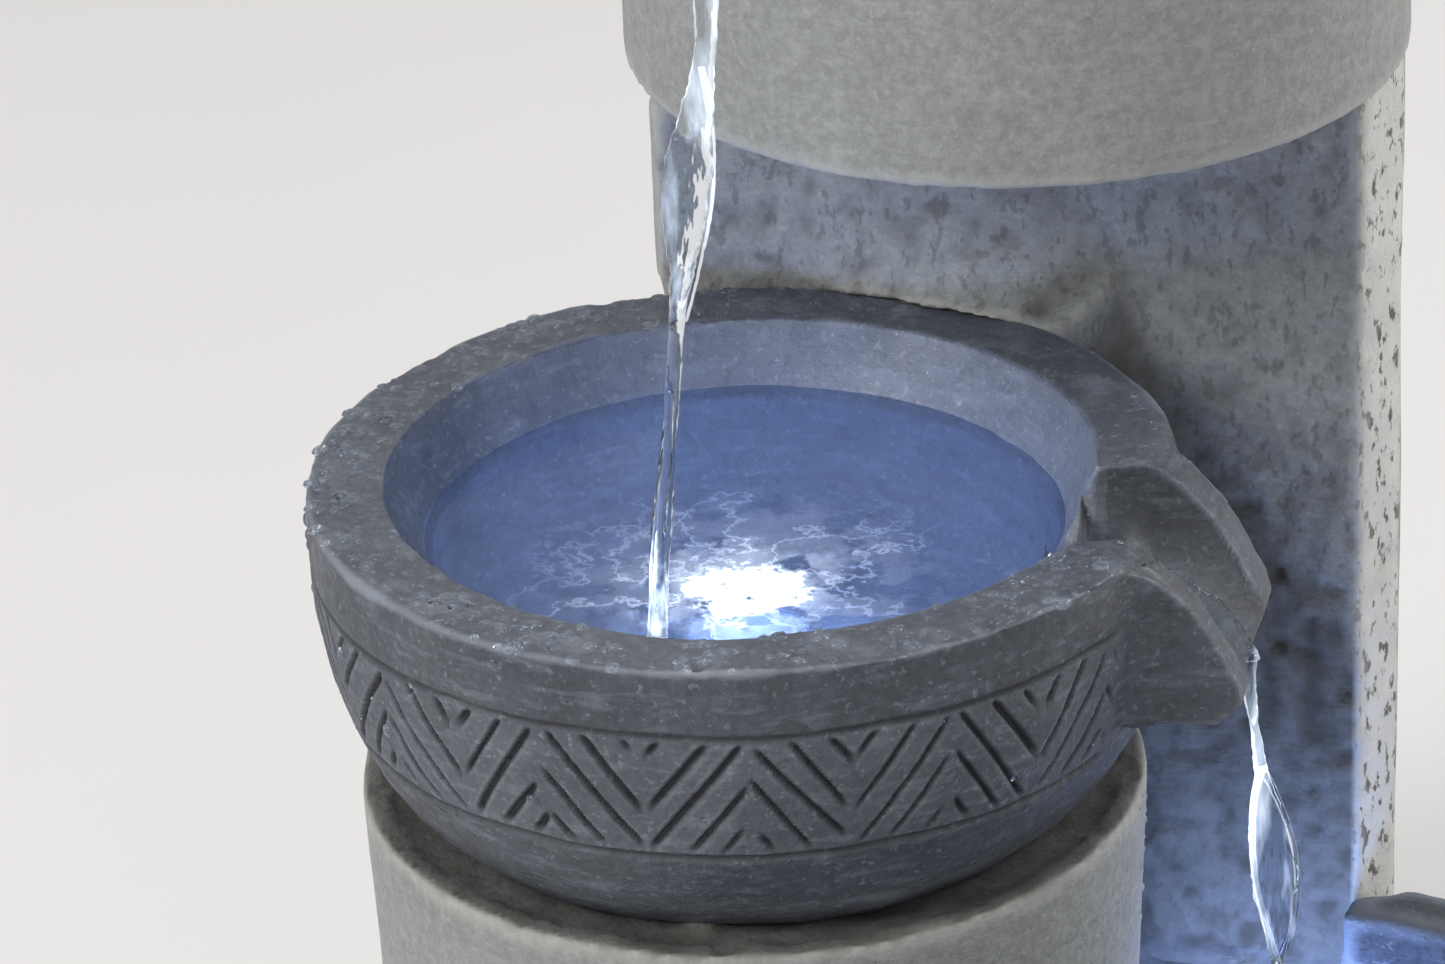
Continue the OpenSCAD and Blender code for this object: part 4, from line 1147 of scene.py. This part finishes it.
# ---------- Lamps under the water ----------
# Each light is a black moulded cup with a white board of six diodes, a rubber ring and a
# clear domed lens. Their cool white light shows blue through the water.


def moulded_finish(name, colour, roughness, metal=0.0, grain=900, depth=0.00004, shade=0.12):
    """A moulded or drawn material: slight shade changes, handling marks and a fine grain"""
    material, shader, place = new_material(name)
    cloud = add_noise(place, 120, 3, 0.5)
    fine = add_noise(place, grain, 2, 0.6)
    feed(shader, {
        "Base Color": add_ramp(cloud, [
            (0.3, tuple(c * (1 - shade) for c in colour)),
            (0.7, tuple(min(c * (1 + shade), 1.0) for c in colour)),
        ]),
        "Roughness": add_ramp(fine, [
            (0.35, max(roughness - 0.07, 0.03)), (0.65, min(roughness + 0.07, 1.0))
        ]),
        "Metallic": metal,
        "Normal": add_bump(fine, depth),
    })
    return material


def finish_nodes(material, *names):
    """Gives carried-over CAD nodes their finish"""
    for name in names:
        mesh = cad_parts[name].data
        mesh.materials.clear()
        mesh.materials.append(material)


black_moulding = moulded_finish("black_moulded_plastic", (0.018, 0.018, 0.020), 0.42)
board_white = moulded_finish("white_board", (0.78, 0.80, 0.78), 0.35)
soft_rubber = moulded_finish("black_rubber", (0.022, 0.022, 0.022), 0.75, 0.0, 1400, 0.00006)
lens_clear, lens_shader, lens_place = new_material("clear_lens")
lens_swirl = add_noise(lens_place, 300, 3, 0.5)
feed(lens_shader, {
    "Base Color": (0.30, 0.38, 0.52, 1),
    "Transmission Weight": 0.75,
    "IOR": 1.49,
    "Emission Color": (0.55, 0.70, 1.0, 1),
    "Emission Strength": 0.15,
    "Roughness": add_ramp(lens_swirl, [(0.4, 0.12), (0.7, 0.26)]),
    "Normal": add_bump(lens_swirl, 0.00005),
})
for tier in ("middle", "upper", "basin"):
    finish_nodes(black_moulding, tier + "_light_housing")
    finish_nodes(board_white, tier + "_light_board")
    finish_nodes(soft_rubber, tier + "_light_seal")
    finish_nodes(lens_clear, tier + "_light_lens")
above_lens = Vector((0, 0, 0.017))
diode_blue = (0.34, 0.50, 1.0)
for tier, watts in (("middle", 0.36), ("upper", 0.15), ("basin", 0.90)):
    spot = middle_of(tier + "_light_lens") + above_lens
    diodes = add_lamp(tier + "_diodes", "POINT", spot, watts, diode_blue)
    diodes.data.shadow_soft_size = 0.007
    diodes.visible_camera = False
    diodes.visible_glossy = False
    diodes.visible_transmission = False

# ---------- Pump ----------
# A small submersible pump: black moulded housing and cover, a magnet rotor with a pale
# impeller on a ceramic shaft between rubber bushes, and a strainer with a flow dial.
pump_black = moulded_finish("pump_plastic", (0.016, 0.016, 0.018), 0.34, 0.0, 700, 0.00006)
finish_nodes(pump_black, "pump_housing", "volute_cover", "strainer_cover")
dial_grey = moulded_finish("dial_plastic", (0.10, 0.10, 0.11), 0.38)
finish_nodes(dial_grey, "flow_dial")
impeller_pale = moulded_finish("impeller_plastic", (0.66, 0.66, 0.62), 0.40)
finish_nodes(impeller_pale, "impeller")
ferrite = moulded_finish("ferrite", (0.055, 0.055, 0.060), 0.62, 0.2, 1100, 0.00008)
finish_nodes(ferrite, "rotor_magnet")
ceramic = moulded_finish("shaft_ceramic", (0.80, 0.79, 0.76), 0.22, 0.0, 1600, 0.00002, 0.04)
finish_nodes(ceramic, "pump_shaft")
finish_nodes(soft_rubber, "shaft_bush_rear", "shaft_bush_front", "volute_seal", "suction_cups")

# ---------- Water path ----------
# A clear vinyl tube held by spring clips climbs from the pump to a flanged fitting through
# the upper bowl, closed by a washer and a nut, with a slotted cap that spreads the water.
vinyl = moulded_finish("clear_vinyl", (0.62, 0.67, 0.70), 0.22)
vinyl.node_tree.nodes["Principled BSDF"].inputs["Transmission Weight"].default_value = 0.7
finish_nodes(vinyl, "riser_tube")
spring_steel = moulded_finish("spring_steel", (0.58, 0.58, 0.60), 0.30, 1.0, 500, 0.00003)
finish_nodes(spring_steel, "hose_clips")
finish_nodes(pump_black, "outlet_nipple", "nipple_nut", "diffuser_cap")
finish_nodes(soft_rubber, "nipple_washer")
finish_nodes(black_moulding, "intake_screen")

# ---------- Leads, splice box and gland ----------
# Black sheathed leads from the pump and the lights meet in a potted box behind the wall.
# White nylon clips on that wall hold the riser tube, and a rubber gland closes the hole
# in the back.
sheath = moulded_finish("lead_sheath", (0.014, 0.014, 0.014), 0.50, 0.0, 1200, 0.00005)
finish_nodes(sheath, "pump_lead", "middle_light_lead", "upper_light_lead", "basin_light_lead")
finish_nodes(black_moulding, "splice_box")
clip_white = moulded_finish("clip_nylon", (0.66, 0.66, 0.63), 0.48)
finish_nodes(clip_white, "lead_clips")
finish_nodes(soft_rubber, "cord_gland")

# ---------- Door fittings ----------
# A turned, painted knob held by a steel screw, and two nickel-plated magnets let into the
# inside of the door. They hold on to steel tabs above and below the opening.
knob_paint = moulded_finish("knob_paint", (0.045, 0.045, 0.050), 0.36, 0.4)
finish_nodes(knob_paint, "door_knob")
plain_steel = moulded_finish("plain_steel", (0.56, 0.56, 0.57), 0.34, 1.0, 450, 0.00004)
finish_nodes(plain_steel, "door_knob_screw", "strike_plates")
plated = moulded_finish("nickel_plate", (0.62, 0.61, 0.58), 0.16, 1.0, 600, 0.00001)
finish_nodes(plated, "door_magnets")

# ---------- Feet ----------
# Nine round moulded rubber pads glued into the underside. They keep the fountain level
# and stop it from sliding.
finish_nodes(soft_rubber, "rubber_feet")
